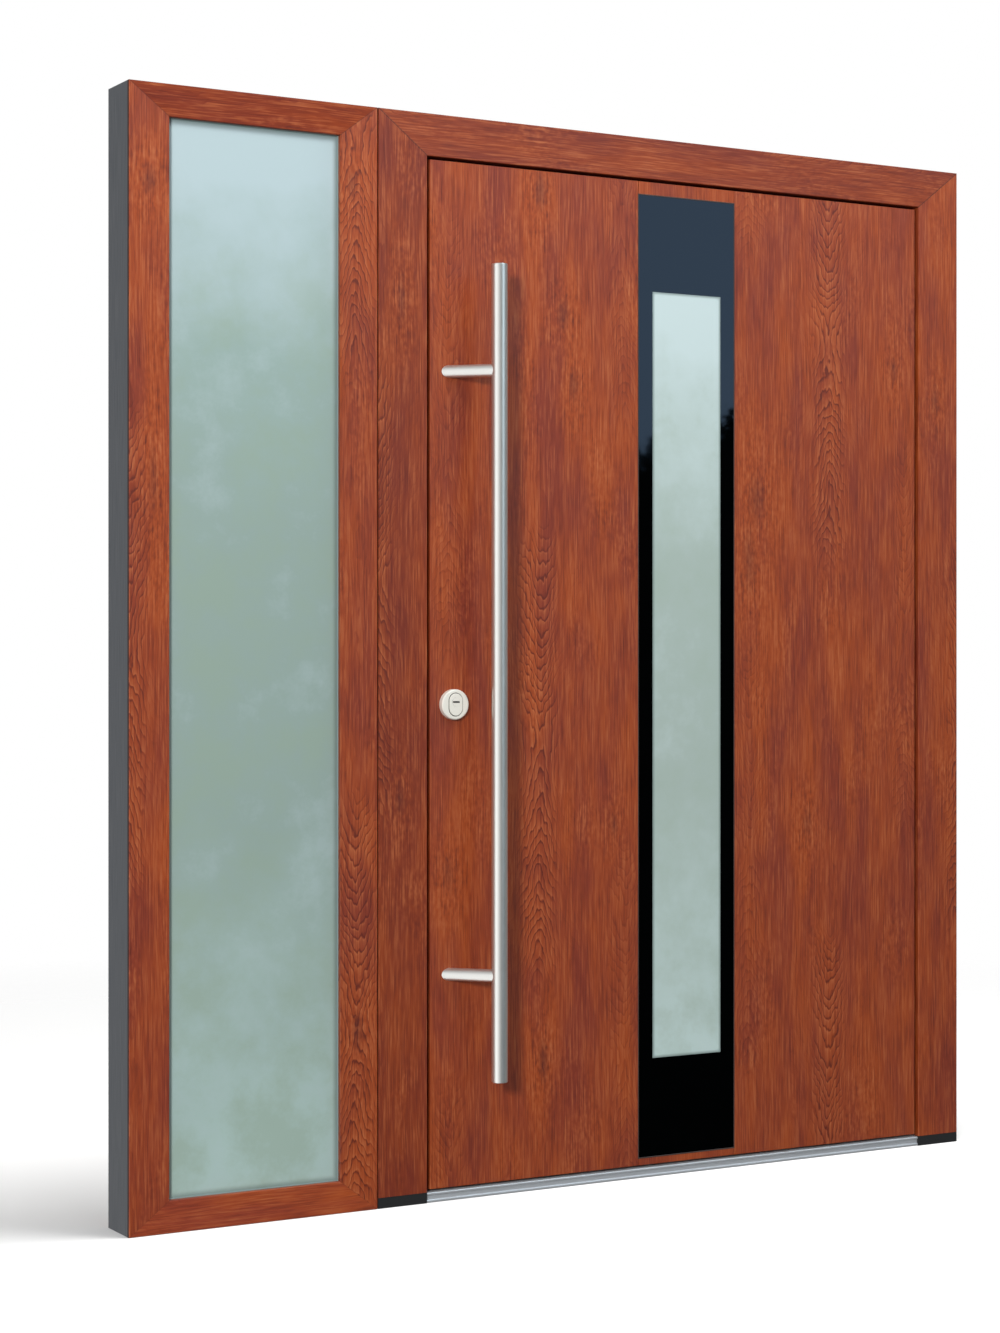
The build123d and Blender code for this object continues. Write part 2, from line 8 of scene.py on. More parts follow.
import bmesh
import bpy
import numpy as np
from bpy.types import Material, Node, NodeSocket, NodeTree, Object
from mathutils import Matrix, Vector


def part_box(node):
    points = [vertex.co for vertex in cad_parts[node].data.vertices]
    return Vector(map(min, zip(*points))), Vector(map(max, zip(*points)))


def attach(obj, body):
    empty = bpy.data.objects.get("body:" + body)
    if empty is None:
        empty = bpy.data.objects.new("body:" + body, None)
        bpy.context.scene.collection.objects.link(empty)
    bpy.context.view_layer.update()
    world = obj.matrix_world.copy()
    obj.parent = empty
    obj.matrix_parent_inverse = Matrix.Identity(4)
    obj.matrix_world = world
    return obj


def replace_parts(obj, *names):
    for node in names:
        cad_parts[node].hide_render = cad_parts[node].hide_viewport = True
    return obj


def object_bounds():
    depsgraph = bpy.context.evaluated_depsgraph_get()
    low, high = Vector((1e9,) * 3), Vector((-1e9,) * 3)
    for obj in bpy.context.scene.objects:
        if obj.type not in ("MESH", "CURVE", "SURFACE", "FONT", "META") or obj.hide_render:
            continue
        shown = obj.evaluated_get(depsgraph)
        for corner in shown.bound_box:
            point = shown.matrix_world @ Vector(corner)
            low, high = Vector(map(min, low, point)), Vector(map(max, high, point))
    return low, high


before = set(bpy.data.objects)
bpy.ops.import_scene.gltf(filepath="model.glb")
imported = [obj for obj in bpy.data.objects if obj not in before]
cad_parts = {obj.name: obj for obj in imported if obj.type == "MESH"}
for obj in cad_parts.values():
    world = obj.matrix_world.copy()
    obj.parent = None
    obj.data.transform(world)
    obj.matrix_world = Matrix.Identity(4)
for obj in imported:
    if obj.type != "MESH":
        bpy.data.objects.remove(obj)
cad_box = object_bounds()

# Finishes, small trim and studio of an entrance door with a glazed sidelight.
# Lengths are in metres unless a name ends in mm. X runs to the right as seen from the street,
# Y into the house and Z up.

log = logging.getLogger("entrance_door")

MM = 0.001
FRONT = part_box("jamb_lock")[0].y

# A closed surface: vertices, shaped (..., 3), and faces as vertex numbers
Shape = tuple[np.ndarray, list[list[int]]]

# Outward steps at the corners of a rectangle, in the order of Rect.corners
AROUND = np.array([[-1, -1], [-1, 1], [1, 1], [1, -1]])


class Grain(Enum):
    """Which way the printed figure runs: the axis across the grain and the axis along it."""

    UPRIGHT = ("X", "Z")
    LEVEL = ("Z", "X")


class Body(Enum):
    """The bodies that carry the new pieces."""

    FRAME = "frame"
    LEAF = "leaf"


class Corner(Enum):
    """Which way a mitre leaves the corner of an opening: sideways and upwards or downwards."""

    UPPER_LEFT = (-1, 1)
    UPPER_RIGHT = (1, 1)
    LOWER_LEFT = (-1, -1)
    LOWER_RIGHT = (1, -1)


class FloorLight(Enum):
    """What a lamp does to the floor: it passes over it, or it lights nothing else."""

    NONE = "EXCLUDE"
    ONLY = "INCLUDE"


class Facing(Enum):
    """Which way a screwed face looks: its level axis, its upright axis and its outward normal."""

    HOUSE = ((1, 0, 0), (0, 0, 1), (0, 1, 0))
    LOCK_SIDE = ((0, 1, 0), (0, 0, 1), (-1, 0, 0))
    HINGE_SIDE = ((0, 1, 0), (0, 0, 1), (1, 0, 0))


def linear(colour: str) -> tuple[float, float, float, float]:
    """Turn an sRGB hex colour to linear light.

    Args:
        colour: The colour as "#rrggbb".

    Returns:
        Linear red, green and blue with an alpha of one.
    """
    srgb = np.array([int(colour[i : i + 2], 16) for i in (1, 3, 5)]) / 255
    light = np.where(srgb <= 0.04045, srgb / 12.92, ((srgb + 0.055) / 1.055) ** 2.4)
    return (*light.tolist(), 1.0)


def per_size(*sizes_mm: float) -> tuple[float, ...]:
    """Texture scales that draw features of these sizes, in millimetres."""
    return tuple(1 / (size * MM) for size in sizes_mm)


def connect(tree: NodeTree, socket: NodeSocket, value: object) -> None:
    """Link a node or socket to an input, or set the input's own value.

    Args:
        tree: The input's node tree.
        socket: The input.
        value: A node, a socket or a plain value. None leaves the input as it is.
    """
    if isinstance(value, Node):
        value = next(output for output in value.outputs if output.enabled)
    if isinstance(value, NodeSocket):
        tree.links.new(socket, value)
    elif value is not None:
        socket.default_value = value


def add_node(tree: NodeTree, kind: str, *inputs: object, **settings: object) -> Node:
    """Add one node with its settings and links. A Mix node mixes colours.

    Args:
        tree: The node tree that gets the node.
        kind: The node's type without its first words, with an operation after a dot where it has one.
        inputs: Values for the node's inputs in their order. A node or socket is linked, None is left.
        settings: Properties of the node, inputs by name, or stops for a colour ramp.

    Returns:
        The new node.
    """
    family, _, operation = kind.partition(".")
    node = tree.nodes.new("ShaderNode" + family)
    if operation:
        node.operation = operation
    if family == "Mix":
        node.data_type = "RGBA"
    named = {}
    for key, value in settings.items():
        if key == "stops":
            elements = node.color_ramp.elements
            elements[0].position, elements[1].position = value[0][0], value[-1][0]
            for position, _ in value[1:-1]:
                elements.new(position)
            for element, (_, colour) in zip(elements, value):
                element.color = colour
        elif hasattr(node, key):
            setattr(node, key, value)
        else:
            named[key] = value
    shown = [socket for socket in node.inputs if socket.enabled]
    for socket, value in zip(shown, inputs):
        connect(tree, socket, value)
    feed(tree, node, **named)
    return node


def feed(tree: NodeTree, node: Node, **inputs: object) -> None:
    """Set or link a node's inputs by name.

    Args:
        tree: The node's tree.
        node: The node.
        inputs: Values by input name, with underscores for spaces. A node or socket is linked.
    """
    for name, value in inputs.items():
        connect(tree, node.inputs[name.replace("_", " ")], value)


def new_material(name: str) -> tuple[Material, NodeTree, Node]:
    """Start a material with one principled shader.

    Args:
        name: The material's name.

    Returns:
        The material, its node tree and its shader node.
    """
    material = bpy.data.materials.new(name)
    material.use_nodes = True
    return material, material.node_tree, material.node_tree.nodes["Principled BSDF"]


class Finish(Protocol):
    """A surface finish that can build its own material."""

    def material(self) -> Material:
        """Build the material."""


@cache
def material_of(finish: Finish) -> Material:
    """The material of a finish, built once however many pieces share it."""
    return finish.material()


def dress(finish: Finish, *names: str) -> None:
    """Put a finish on solids of the frame and report it.

    Args:
        finish: The finish for all of their faces.
        names: The solids' node names.
    """
    material = material_of(finish)
    for name in names:
        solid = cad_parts[name]
        if not solid.material_slots:
            solid.data.materials.append(material)
        for slot in solid.material_slots:
            slot.material = material
        log.info("%s dressed in %s", name, material.name)


def new_piece(name: str, shape: Shape, finish: Finish, body: Body) -> Object:
    """Make an object from a closed shape and let it ride on a body.

    Args:
        name: The piece's name.
        shape: Its vertices and faces.
        finish: Its finish.
        body: The body that carries it.

    Returns:
        The new object.
    """
    points, faces = shape
    mesh = bpy.data.meshes.new(name)
    mesh.from_pydata(points.reshape(-1, 3).tolist(), [], faces)
    shell = bmesh.new()
    shell.from_mesh(mesh)
    bmesh.ops.recalc_face_normals(shell, faces=shell.faces)
    shell.to_mesh(mesh)
    shell.free()
    mesh.materials.append(material_of(finish))
    piece = bpy.data.objects.new(name, mesh)
    bpy.context.scene.collection.objects.link(piece)
    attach(piece, body.value)
    log.info("%s made with %d faces", name, len(mesh.polygons))
    return piece


def grid_faces(rows: int, columns: int, wrap_rows: bool, wrap_columns: bool) -> np.ndarray:
    """Quads over a grid of vertices numbered row by row.

    Args:
        rows: Number of rows.
        columns: Number of vertices in a row.
        wrap_rows: Whether the last row joins the first.
        wrap_columns: Whether a row's last vertex joins its first.

    Returns:
        Vertex numbers, shaped (faces, 4).
    """
    row = np.arange(rows if wrap_rows else rows - 1)[:, None]
    column = np.arange(columns if wrap_columns else columns - 1)[None, :]
    next_row, next_column = (row + 1) % rows, (column + 1) % columns
    corners = (
        row * columns + column,
        row * columns + next_column,
        next_row * columns + next_column,
        next_row * columns + column,
    )
    return np.stack([np.broadcast_to(c, (row.size, column.size)) for c in corners], -1).reshape(-1, 4)


@dataclass(frozen=True)
class Rect:
    """An upright rectangle across the door."""

    left: float
    right: float
    bottom: float
    top: float

    @classmethod
    def of(cls, name: str) -> "Rect":
        """The outline of a solid, as seen from the street."""
        low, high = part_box(name)
        return cls(low.x, high.x, low.z, high.z)

    def corners(self) -> np.ndarray:
        """Its corners from the lower left, clockwise as seen from the street."""
        across = [self.left, self.left, self.right, self.right]
        return np.stack([across, [self.bottom, self.top, self.top, self.bottom]], -1)


def half_round(middle: float, half_width: float, base: float, rise: float, count: int) -> np.ndarray:
    """Half an ellipse: half the width times the cosine and the rise times the sine, over half a turn.

    Args:
        middle: Its middle on the first axis.
        half_width: Half its width there.
        base: Where it stands on the second axis.
        rise: How far it rises from there.
        count: Number of points.

    Returns:
        Points, shaped (count, 2).
    """
    turn = np.linspace(0.0, math.pi, count)
    return np.stack([middle + half_width * np.cos(turn), base + rise * np.sin(turn)], -1)


def swept(corners: np.ndarray, outward: np.ndarray, profile: np.ndarray, closed: bool) -> Shape:
    """Carry a closed profile along a path across the door, mitred at its corners.

    Each vertex is a corner of the path, moved along that corner's outward step by the profile's first
    number and placed in depth by its second, so that neighbouring sides meet on true mitres.

    Args:
        corners: The path, shaped (n, 2), across and up.
        outward: The step at each corner, shaped (n, 2).
        profile: Points as (outward, depth), shaped (m, 2), in order round the section.
        closed: Whether the path's end joins its start. Open ends are closed by a flat face.

    Returns:
        Vertices and faces.
    """
    plan = corners[:, None, :] + outward[:, None, :] * profile[None, :, :1]
    depth = np.broadcast_to(profile[None, :, 1], plan.shape[:2])
    points = np.stack([plan[..., 0], depth, plan[..., 1]], -1)
    rows, columns = depth.shape
    faces = grid_faces(rows, columns, closed, True).tolist()
    if not closed:
        faces += [list(range(columns)), list(range((rows - 1) * columns, rows * columns))]
    return points, faces


@dataclass(frozen=True)
class ScrewHead:
    """A countersunk screw head with a cross recess. All sizes but the radius are shares of the radius."""

    radius: float
    rings: tuple[float, ...] = (0.06, 0.18, 0.3, 0.42, 0.52, 0.6, 0.68, 0.84, 1.0, 1.0)
    sides: int = 32
    dome: float = 0.18
    rim_depth: float = 0.2
    arm_half: float = 0.15
    arm_slope: float = 0.06
    recess_end: float = 0.66
    recess_slope: float = 0.08
    recess_depth: float = 0.3

    def shape(self, places: np.ndarray, facing: Facing) -> Shape:
        """Heads in a face.

        Over a disc of angle and share of the radius the height is a shallow dome, one minus the square of the
        share, less a pit where either face coordinate is small, and the rim drops below the face.

        Args:
            places: Middles of the heads on the face, shaped (n, 3).
            facing: Which way the face looks.

        Returns:
            Vertices and faces of all the heads.
        """
        share = np.array(self.rings)[:, None]
        angle = np.linspace(0.0, 2 * math.pi, self.sides, endpoint=False)[None, :]
        level, upright = share * np.cos(angle), share * np.sin(angle)
        arm = np.clip((self.arm_half - np.minimum(abs(level), abs(upright))) / self.arm_slope, 0.0, 1.0)
        pit = arm * np.clip((self.recess_end - share) / self.recess_slope, 0.0, 1.0)
        height = self.dome * (1 - share**2) - self.recess_depth * pit
        height[-1] = -self.rim_depth
        axes = np.array(facing.value, float)
        head = level[..., None] * axes[0] + upright[..., None] * axes[1] + height[..., None] * axes[2]
        points = places[:, None, None, :] + self.radius * head[None]
        rows, columns = level.shape
        one = grid_faces(rows, columns, False, True)
        ends = np.array([np.arange(columns), np.arange((rows - 1) * columns, rows * columns)])
        first = np.arange(len(places))[:, None, None] * rows * columns
        return points, [*(first + one).reshape(-1, 4).tolist(), *(first + ends).reshape(-1, columns).tolist()]


@dataclass(frozen=True)
class Mitre:
    """A mitre cut through one corner of an opening, seen as a fine dark line."""

    corner: tuple[float, float]
    direction: Corner
    stile_face: float
    rail_face: float
    strength: float

    def normal(self) -> tuple[float, float, float]:
        """Unit normal of the cut, square to the line from the inner corner to the outer one.

        Returns:
            The normal's X, Y and Z.
        """
        side, end = self.direction.value
        length = math.hypot(self.stile_face, self.rail_face)
        return (-side * self.rail_face / length, 0.0, end * self.stile_face / length)


@dataclass(frozen=True)
class BareSide:
    """The outer side of a profile, where the foil stops behind the front edge."""

    axis: str
    position: float


@dataclass(frozen=True)
class Spot:
    """A knot in the printed figure, placed from the middle of the piece's own flame, in millimetres."""

    across_mm: float
    along_mm: float
    width_mm: float
    length_mm: float
    depth: float


# Noise layers of the oak print: size across and along the grain in millimetres, and detail.
# The real fibres are finer than a picture shows, so they are drawn several times wider than life.
LAYERS = {
    "fibre": (2.6, 90, 1.5),
    "fleck": (3.0, 26, 0.0),
    "streak": (9, 170, 1.5),
    "patch": (60, 190, 3.0),
    "band": (64, 420, 1.0),
    "cloud": (105, 290, 1.0),
    "mottle": (7, 16, 1.0),
    "thread": (11, 240, 0.0),
}

# What each layer that shows everywhere adds to the tone
TONE = {"fibre": 0.95, "fleck": 0.2, "streak": 0.45, "patch": 0.3}

# Grey of a growth ring across its width: it falls slowly, drops to the dark line and jumps back
RING_TONE = ((0.0, 0.75), (0.22, 0.58), (0.66, 0.5), (0.87, 0.0), (1.0, 0.75))


@dataclass(frozen=True)
class OakFoil:
    """PVC foil printed with an oak figure, embossed and laminated to a dark profile.

    The eye sees a matt red brown with crisp fine fibres, one column of nested pointed flames to a board,
    and here and there a mottled amber burl with a few dark knots.
    """

    name: str
    grain: Grain
    flame: tuple[float, float]
    column: int = 0
    mitres: tuple[Mitre, ...] = ()
    bare_side: BareSide | None = None
    plum: str = "#80331f"
    amber: str = "#974119"
    shadow: str = "#521a10"
    salmon: str = "#b5673e"
    knot: str = "#4a1f1a"
    seam: str = "#2b1511"
    profile: str = "#1c222a"
    pitch_mm: float = 205.0
    repeat_mm: float = 1700.0
    stagger_mm: float = 620.0
    side_share: float = 0.35
    ring_mm: float = 11.0
    apex_mm: float = 6.5
    flame_depth_mm: float = 190.0
    flame_half_mm: float = 470.0
    pinch_mm: float = 40.0
    drift_mm: tuple[float, float] = (110.0, 620.0)
    wander_mm: float = 18.0
    wavy_mm: float = 45.0
    uneven_mm: float = 50.0
    ragged_mm: float = 3.0
    column_mm: tuple[float, float] = (18.0, 55.0)
    core_reach: tuple[float, float] = (0.2, 1.5)
    zone_reach: tuple[float, float] = (1.0, 5.5)
    line_weight: float = 1.15
    middle_tone: float = 0.95
    tone_reach: float = 0.48
    deepest: float = 0.8
    brightest: float = 0.75
    emboss: float = 0.2
    emboss_mm: float = 0.15
    seam_mm: float = 0.9
    edge_mm: float = 2.6
    side_tolerance_mm: float = 0.5
    ior: float = 1.53
    gloss: float = 0.5
    raw_gloss: float = 0.05
    bare_behind: float | None = None
    spots: tuple[Spot, ...] = ()

    def sheet(self, tree: NodeTree) -> tuple[Node, Node]:
        """Place the piece on the printed roll.

        The foil wraps round an edge, so depth adds to the distance across the grain. A slow drift lets
        the fibres wander.

        Args:
            tree: The material's node tree.

        Returns:
            The axes of the piece and the place on the roll.
        """
        add = partial(add_node, tree)
        axes = add("SeparateXYZ", add("TexCoord").outputs["Object"])
        across, along = self.grain.value
        wrapped = add("Math.ADD", axes.outputs[across], axes.outputs["Y"])
        flat = add("CombineXYZ", wrapped, axes.outputs[along])
        start = (
            self.column * self.pitch_mm * MM - self.flame[0] - FRONT,
            -self.column * self.stagger_mm * MM - self.flame[1],
            0.0,
        )
        roll = add("Mapping", flat, start)
        slow = add("Mapping", roll, Scale=(*per_size(*self.drift_mm), 1.0))
        drift = add("TexNoise", slow, 1.0, 1.0, noise_dimensions="2D")
        wander = add("Math.MULTIPLY_ADD", drift, self.wander_mm * MM, -0.5 * self.wander_mm * MM)
        return axes, add("VectorMath.ADD", roll, add("CombineXYZ", wander))

    def layers(self, tree: NodeTree, roll: Node) -> dict[str, Node]:
        """Noise layers drawn out along the grain.

        Args:
            tree: The material's node tree.
            roll: The place on the roll.

        Returns:
            The noise nodes by name.
        """
        add = partial(add_node, tree)
        made = {}
        for name, (across_mm, along_mm, detail) in LAYERS.items():
            drawn = add("Mapping", roll, Scale=(*per_size(across_mm, along_mm), 1.0))
            made[name] = add("TexNoise", drawn, 1.0, detail, 0.6, noise_dimensions="2D")
        return made

    def flames(self, tree: NodeTree, roll: Node, layer: dict[str, Node]) -> Node:
        """Growth rings cut by the face of the board.

        A ring's number is the distance across, blunted near the middle, plus a depth that falls away above and
        below the flame's middle like a tent with a blunt ridge. So the rings close to nested points on both
        sides of the middle and run straight elsewhere. Cut into whole rings it gives a saw-tooth, whose end is
        the dark line.

        Args:
            tree: The material's node tree.
            roll: The place on the roll.
            layer: Noise nodes by name, which make the lines wavy and a little ragged.

        Returns:
            Tone of the ring lines, up and down from zero.
        """
        add = partial(add_node, tree)
        place = add("SeparateXYZ", roll)
        pitch, repeat = self.pitch_mm * MM, self.repeat_mm * MM
        cell = add("Math.ROUND", add("Math.DIVIDE", place, pitch))
        across = add("Math.MULTIPLY_ADD", cell, -pitch, place)
        slid = add("Math.MULTIPLY_ADD", cell, self.stagger_mm * MM, place.outputs["Y"])
        along = add("Math.WRAP", slid, repeat / 2, -repeat / 2)
        apart = add("Math.SQRT", add("Math.MULTIPLY_ADD", along, along, (self.pinch_mm * MM) ** 2))
        swell = add("Math.MULTIPLY_ADD", apart, -1 / (self.flame_half_mm * MM), 1.0, use_clamp=True)
        aside = add("Math.SQRT", add("Math.MULTIPLY_ADD", across, across, (self.apex_mm * MM) ** 2))
        ring = add("Math.MULTIPLY_ADD", swell, self.flame_depth_mm * MM, aside)
        for name, size_mm in (("cloud", self.wavy_mm), ("patch", self.uneven_mm), ("mottle", self.ragged_mm)):
            ring = add("Math.MULTIPLY_ADD", layer[name], size_mm * MM, ring)
        tooth = add("Math.FRACT", add("Math.DIVIDE", ring, self.ring_mm * MM))
        line = add("ValToRGB", tooth, stops=[(at, (grey, grey, grey, 1.0)) for at, grey in RING_TONE])
        inner, outer = (size * MM for size in self.column_mm)
        near = add("MapRange", aside, inner, outer, 1.0, 0.12, interpolation_type="SMOOTHSTEP")
        inside = add("MapRange", swell, 0.0, 0.2, 0.2, 1.0)
        other = add("Math.ABSOLUTE", add("Math.SUBTRACT", cell, float(self.column)))
        own = add("MapRange", other, 0.0, 1.0, 1.0, self.side_share)
        shown = add("Math.MULTIPLY", add("Math.MULTIPLY", near, inside), own)
        return add("Math.MULTIPLY", add("Math.SUBTRACT", line, 0.5), shown)

    def knots(self, tree: NodeTree, roll: Node) -> tuple[Node | float, Node | float]:
        """Dark spots and the lively zone round them, each falling off with elliptic distance.

        Args:
            tree: The material's node tree.
            roll: The place on the roll.

        Returns:
            Darkness of the spots and strength of the zone.
        """
        add = partial(add_node, tree)
        dark, lively = 0.0, 0.0
        for spot in self.spots:
            across = self.column * self.pitch_mm + spot.across_mm
            along = spot.along_mm - self.column * self.stagger_mm
            moved = add("VectorMath.ADD", roll, (-across * MM, -along * MM, 0.0))
            ellipse = add("VectorMath.MULTIPLY", moved, (*per_size(spot.width_mm, spot.length_mm), 1.0))
            distance = add("VectorMath.LENGTH", ellipse).outputs["Value"]
            core = add("MapRange", distance, *self.core_reach, spot.depth, 0.0)
            zone = add("MapRange", distance, *self.zone_reach, 1.0, 0.0)
            dark = add("Math.MAXIMUM", core, dark)
            lively = add("Math.MAXIMUM", zone, lively)
        return dark, lively

    def trimmed(self, tree: NodeTree, axes: Node, colour: Node) -> tuple[Node, Node | float]:
        """Add the mitre lines, and leave the outer side of the profile bare behind a dark matt foil edge.

        Args:
            tree: The material's node tree.
            axes: The axes of the piece.
            colour: The foil's colour.

        Returns:
            The colour with both, and the gloss.
        """
        add = partial(add_node, tree)
        gloss = self.gloss
        depth = axes.outputs["Y"]
        place = add("CombineXYZ", axes.outputs["X"], depth, axes.outputs["Z"])
        for mitre in self.mitres:
            offset = add("VectorMath.SUBTRACT", place, (mitre.corner[0], 0.0, mitre.corner[1]))
            distance = add("VectorMath.DOT_PRODUCT", offset, mitre.normal()).outputs["Value"]
            away = add("Math.ABSOLUTE", distance)
            near, far = 0.3 * self.seam_mm * MM, 1.5 * self.seam_mm * MM
            line = add("MapRange", away, near, far, mitre.strength, 0.0)
            colour = add("Mix", line, colour, linear(self.seam))
        if self.bare_side:
            gap = add("Math.SUBTRACT", axes.outputs[self.bare_side.axis], self.bare_side.position)
            outer = add("Math.COMPARE", gap, 0.0, self.side_tolerance_mm * MM)
            edge = add("Math.GREATER_THAN", depth, FRONT + 0.5 * self.edge_mm * MM)
            behind = add("Math.GREATER_THAN", depth, FRONT + 3 * self.edge_mm * MM)
            dark, bare = add("Math.MULTIPLY", outer, edge), add("Math.MULTIPLY", outer, behind)
            colour = add("Mix", dark, colour, linear(self.seam))
            colour = add("Mix", bare, colour, linear(self.profile))
            raw = add("Math.SUBTRACT", dark, bare)
            gloss = add("MapRange", raw, 0.0, 1.0, self.gloss, self.raw_gloss)
        if self.bare_behind is not None:
            rear = add("Math.GREATER_THAN", depth, self.bare_behind)
            colour = add("Mix", rear, colour, linear(self.profile))
        return colour, gloss

    def tone(self, tree: NodeTree, layer: dict[str, Node], lines: Node, lively: Node | float) -> Node:
        """How dark or bright the print is at a place, before its colours.

        Fibres, flecks, streaks and patches show everywhere, mottling near knots and in clouds, ring lines in
        the flames, and thin pale threads inside clouds, where the noise crosses its middle.

        Args:
            tree: The material's node tree.
            layer: Noise nodes by name.
            lines: Tone of the ring lines.
            lively: Strength of the zone round the knots.

        Returns:
            The tone.
        """
        add = partial(add_node, tree)
        clouded = add("MapRange", layer["cloud"], 0.52, 0.7, 0.05, 0.6)
        stirred = add("Math.MAXIMUM", clouded, lively)
        mottled = add("Math.MULTIPLY", add("Math.SUBTRACT", layer["mottle"], 0.5), stirred)
        tone = 0.0
        for name, weight in TONE.items():
            tone = add("Math.MULTIPLY_ADD", layer[name], weight, tone)
        tone = add("Math.ADD", mottled, tone)
        tone = add("Math.MULTIPLY_ADD", lines, self.line_weight, tone)
        crossing = add("Math.ABSOLUTE", add("Math.SUBTRACT", layer["thread"], 0.5))
        thread = add("MapRange", crossing, 0.0, 0.02, 0.35, 0.0)
        return add("Math.MULTIPLY_ADD", thread, clouded, tone)

    def material(self) -> Material:
        """Build the foil: a plum and amber ground, shaded and lit by the tone, with knots and trim.

        Returns:
            The material.
        """
        material, tree, shader = new_material("oak_foil_" + self.name)
        add = partial(add_node, tree)
        axes, roll = self.sheet(tree)
        layer = self.layers(tree, roll)
        dark, lively = self.knots(tree, roll)
        tone = self.tone(tree, layer, self.flames(tree, roll, layer), lively)
        part = add("Math.MULTIPLY", layer["patch"], 0.45)
        band = add("Math.MULTIPLY_ADD", layer["band"], 0.55, part)
        broad = add("MapRange", band, 0.35, 0.65, 0.0, 1.0)
        warm = add("Math.MULTIPLY_ADD", lively, 0.5, broad, use_clamp=True)
        ground = add("Mix", warm, linear(self.plum), linear(self.amber))
        lowest, highest = self.middle_tone - self.tone_reach, self.middle_tone + self.tone_reach
        shade = add("MapRange", tone, self.middle_tone, lowest, 0.0, self.deepest)
        glow = add("MapRange", tone, self.middle_tone, highest, 0.0, self.brightest)
        colour = add("Mix", shade, ground, linear(self.shadow))
        colour = add("Mix", glow, colour, linear(self.salmon))
        colour = add("Mix", dark, colour, linear(self.knot))
        rough = add("MapRange", layer["fibre"], 0.25, 0.75, 0.52, 0.4)
        bump = add("Bump", self.emboss, self.emboss_mm * MM, Height=layer["fibre"])
        colour, gloss = self.trimmed(tree, axes, colour)
        feed(tree, shader, Base_Color=colour, Roughness=rough, Normal=bump)
        feed(tree, shader, IOR=self.ior, Specular_IOR_Level=gloss)
        return material


@dataclass(frozen=True)
class PowderCoat:
    """Aluminium, powder coated in a fine-textured grey: matt, with a faint orange-peel sparkle."""

    name: str = "powder_coated_aluminium"
    colour: str = "#55585c"
    deep: str = "#484b50"
    grit_mm: float = 2.5
    cloud_mm: float = 140.0
    grit_height_mm: float = 0.1
    roughness: float = 0.52
    spread: float = 0.06

    def material(self) -> Material:
        """Build the coating, with its grit drawn coarser than the real half millimetre so that it shows.

        Returns:
            The material.
        """
        material, tree, shader = new_material(self.name)
        add = partial(add_node, tree)
        place = add("TexCoord").outputs["Object"]
        grit_scale, cloud_scale = per_size(self.grit_mm, self.cloud_mm)
        grit = add("TexNoise", place, grit_scale, 3.0, 0.6)
        cloud = add("TexNoise", place, cloud_scale, 2.0, 0.5)
        blend = add("Math.MULTIPLY_ADD", grit, 0.5, add("Math.MULTIPLY", cloud, 0.5))
        colour = add("Mix", blend, linear(self.deep), linear(self.colour))
        rough = add("MapRange", grit, 0.3, 0.7, self.roughness - self.spread, self.roughness + self.spread)
        bump = add("Bump", 0.12, self.grit_height_mm * MM, Height=grit)
        feed(tree, shader, Base_Color=colour, Roughness=rough, Normal=bump)
        return material


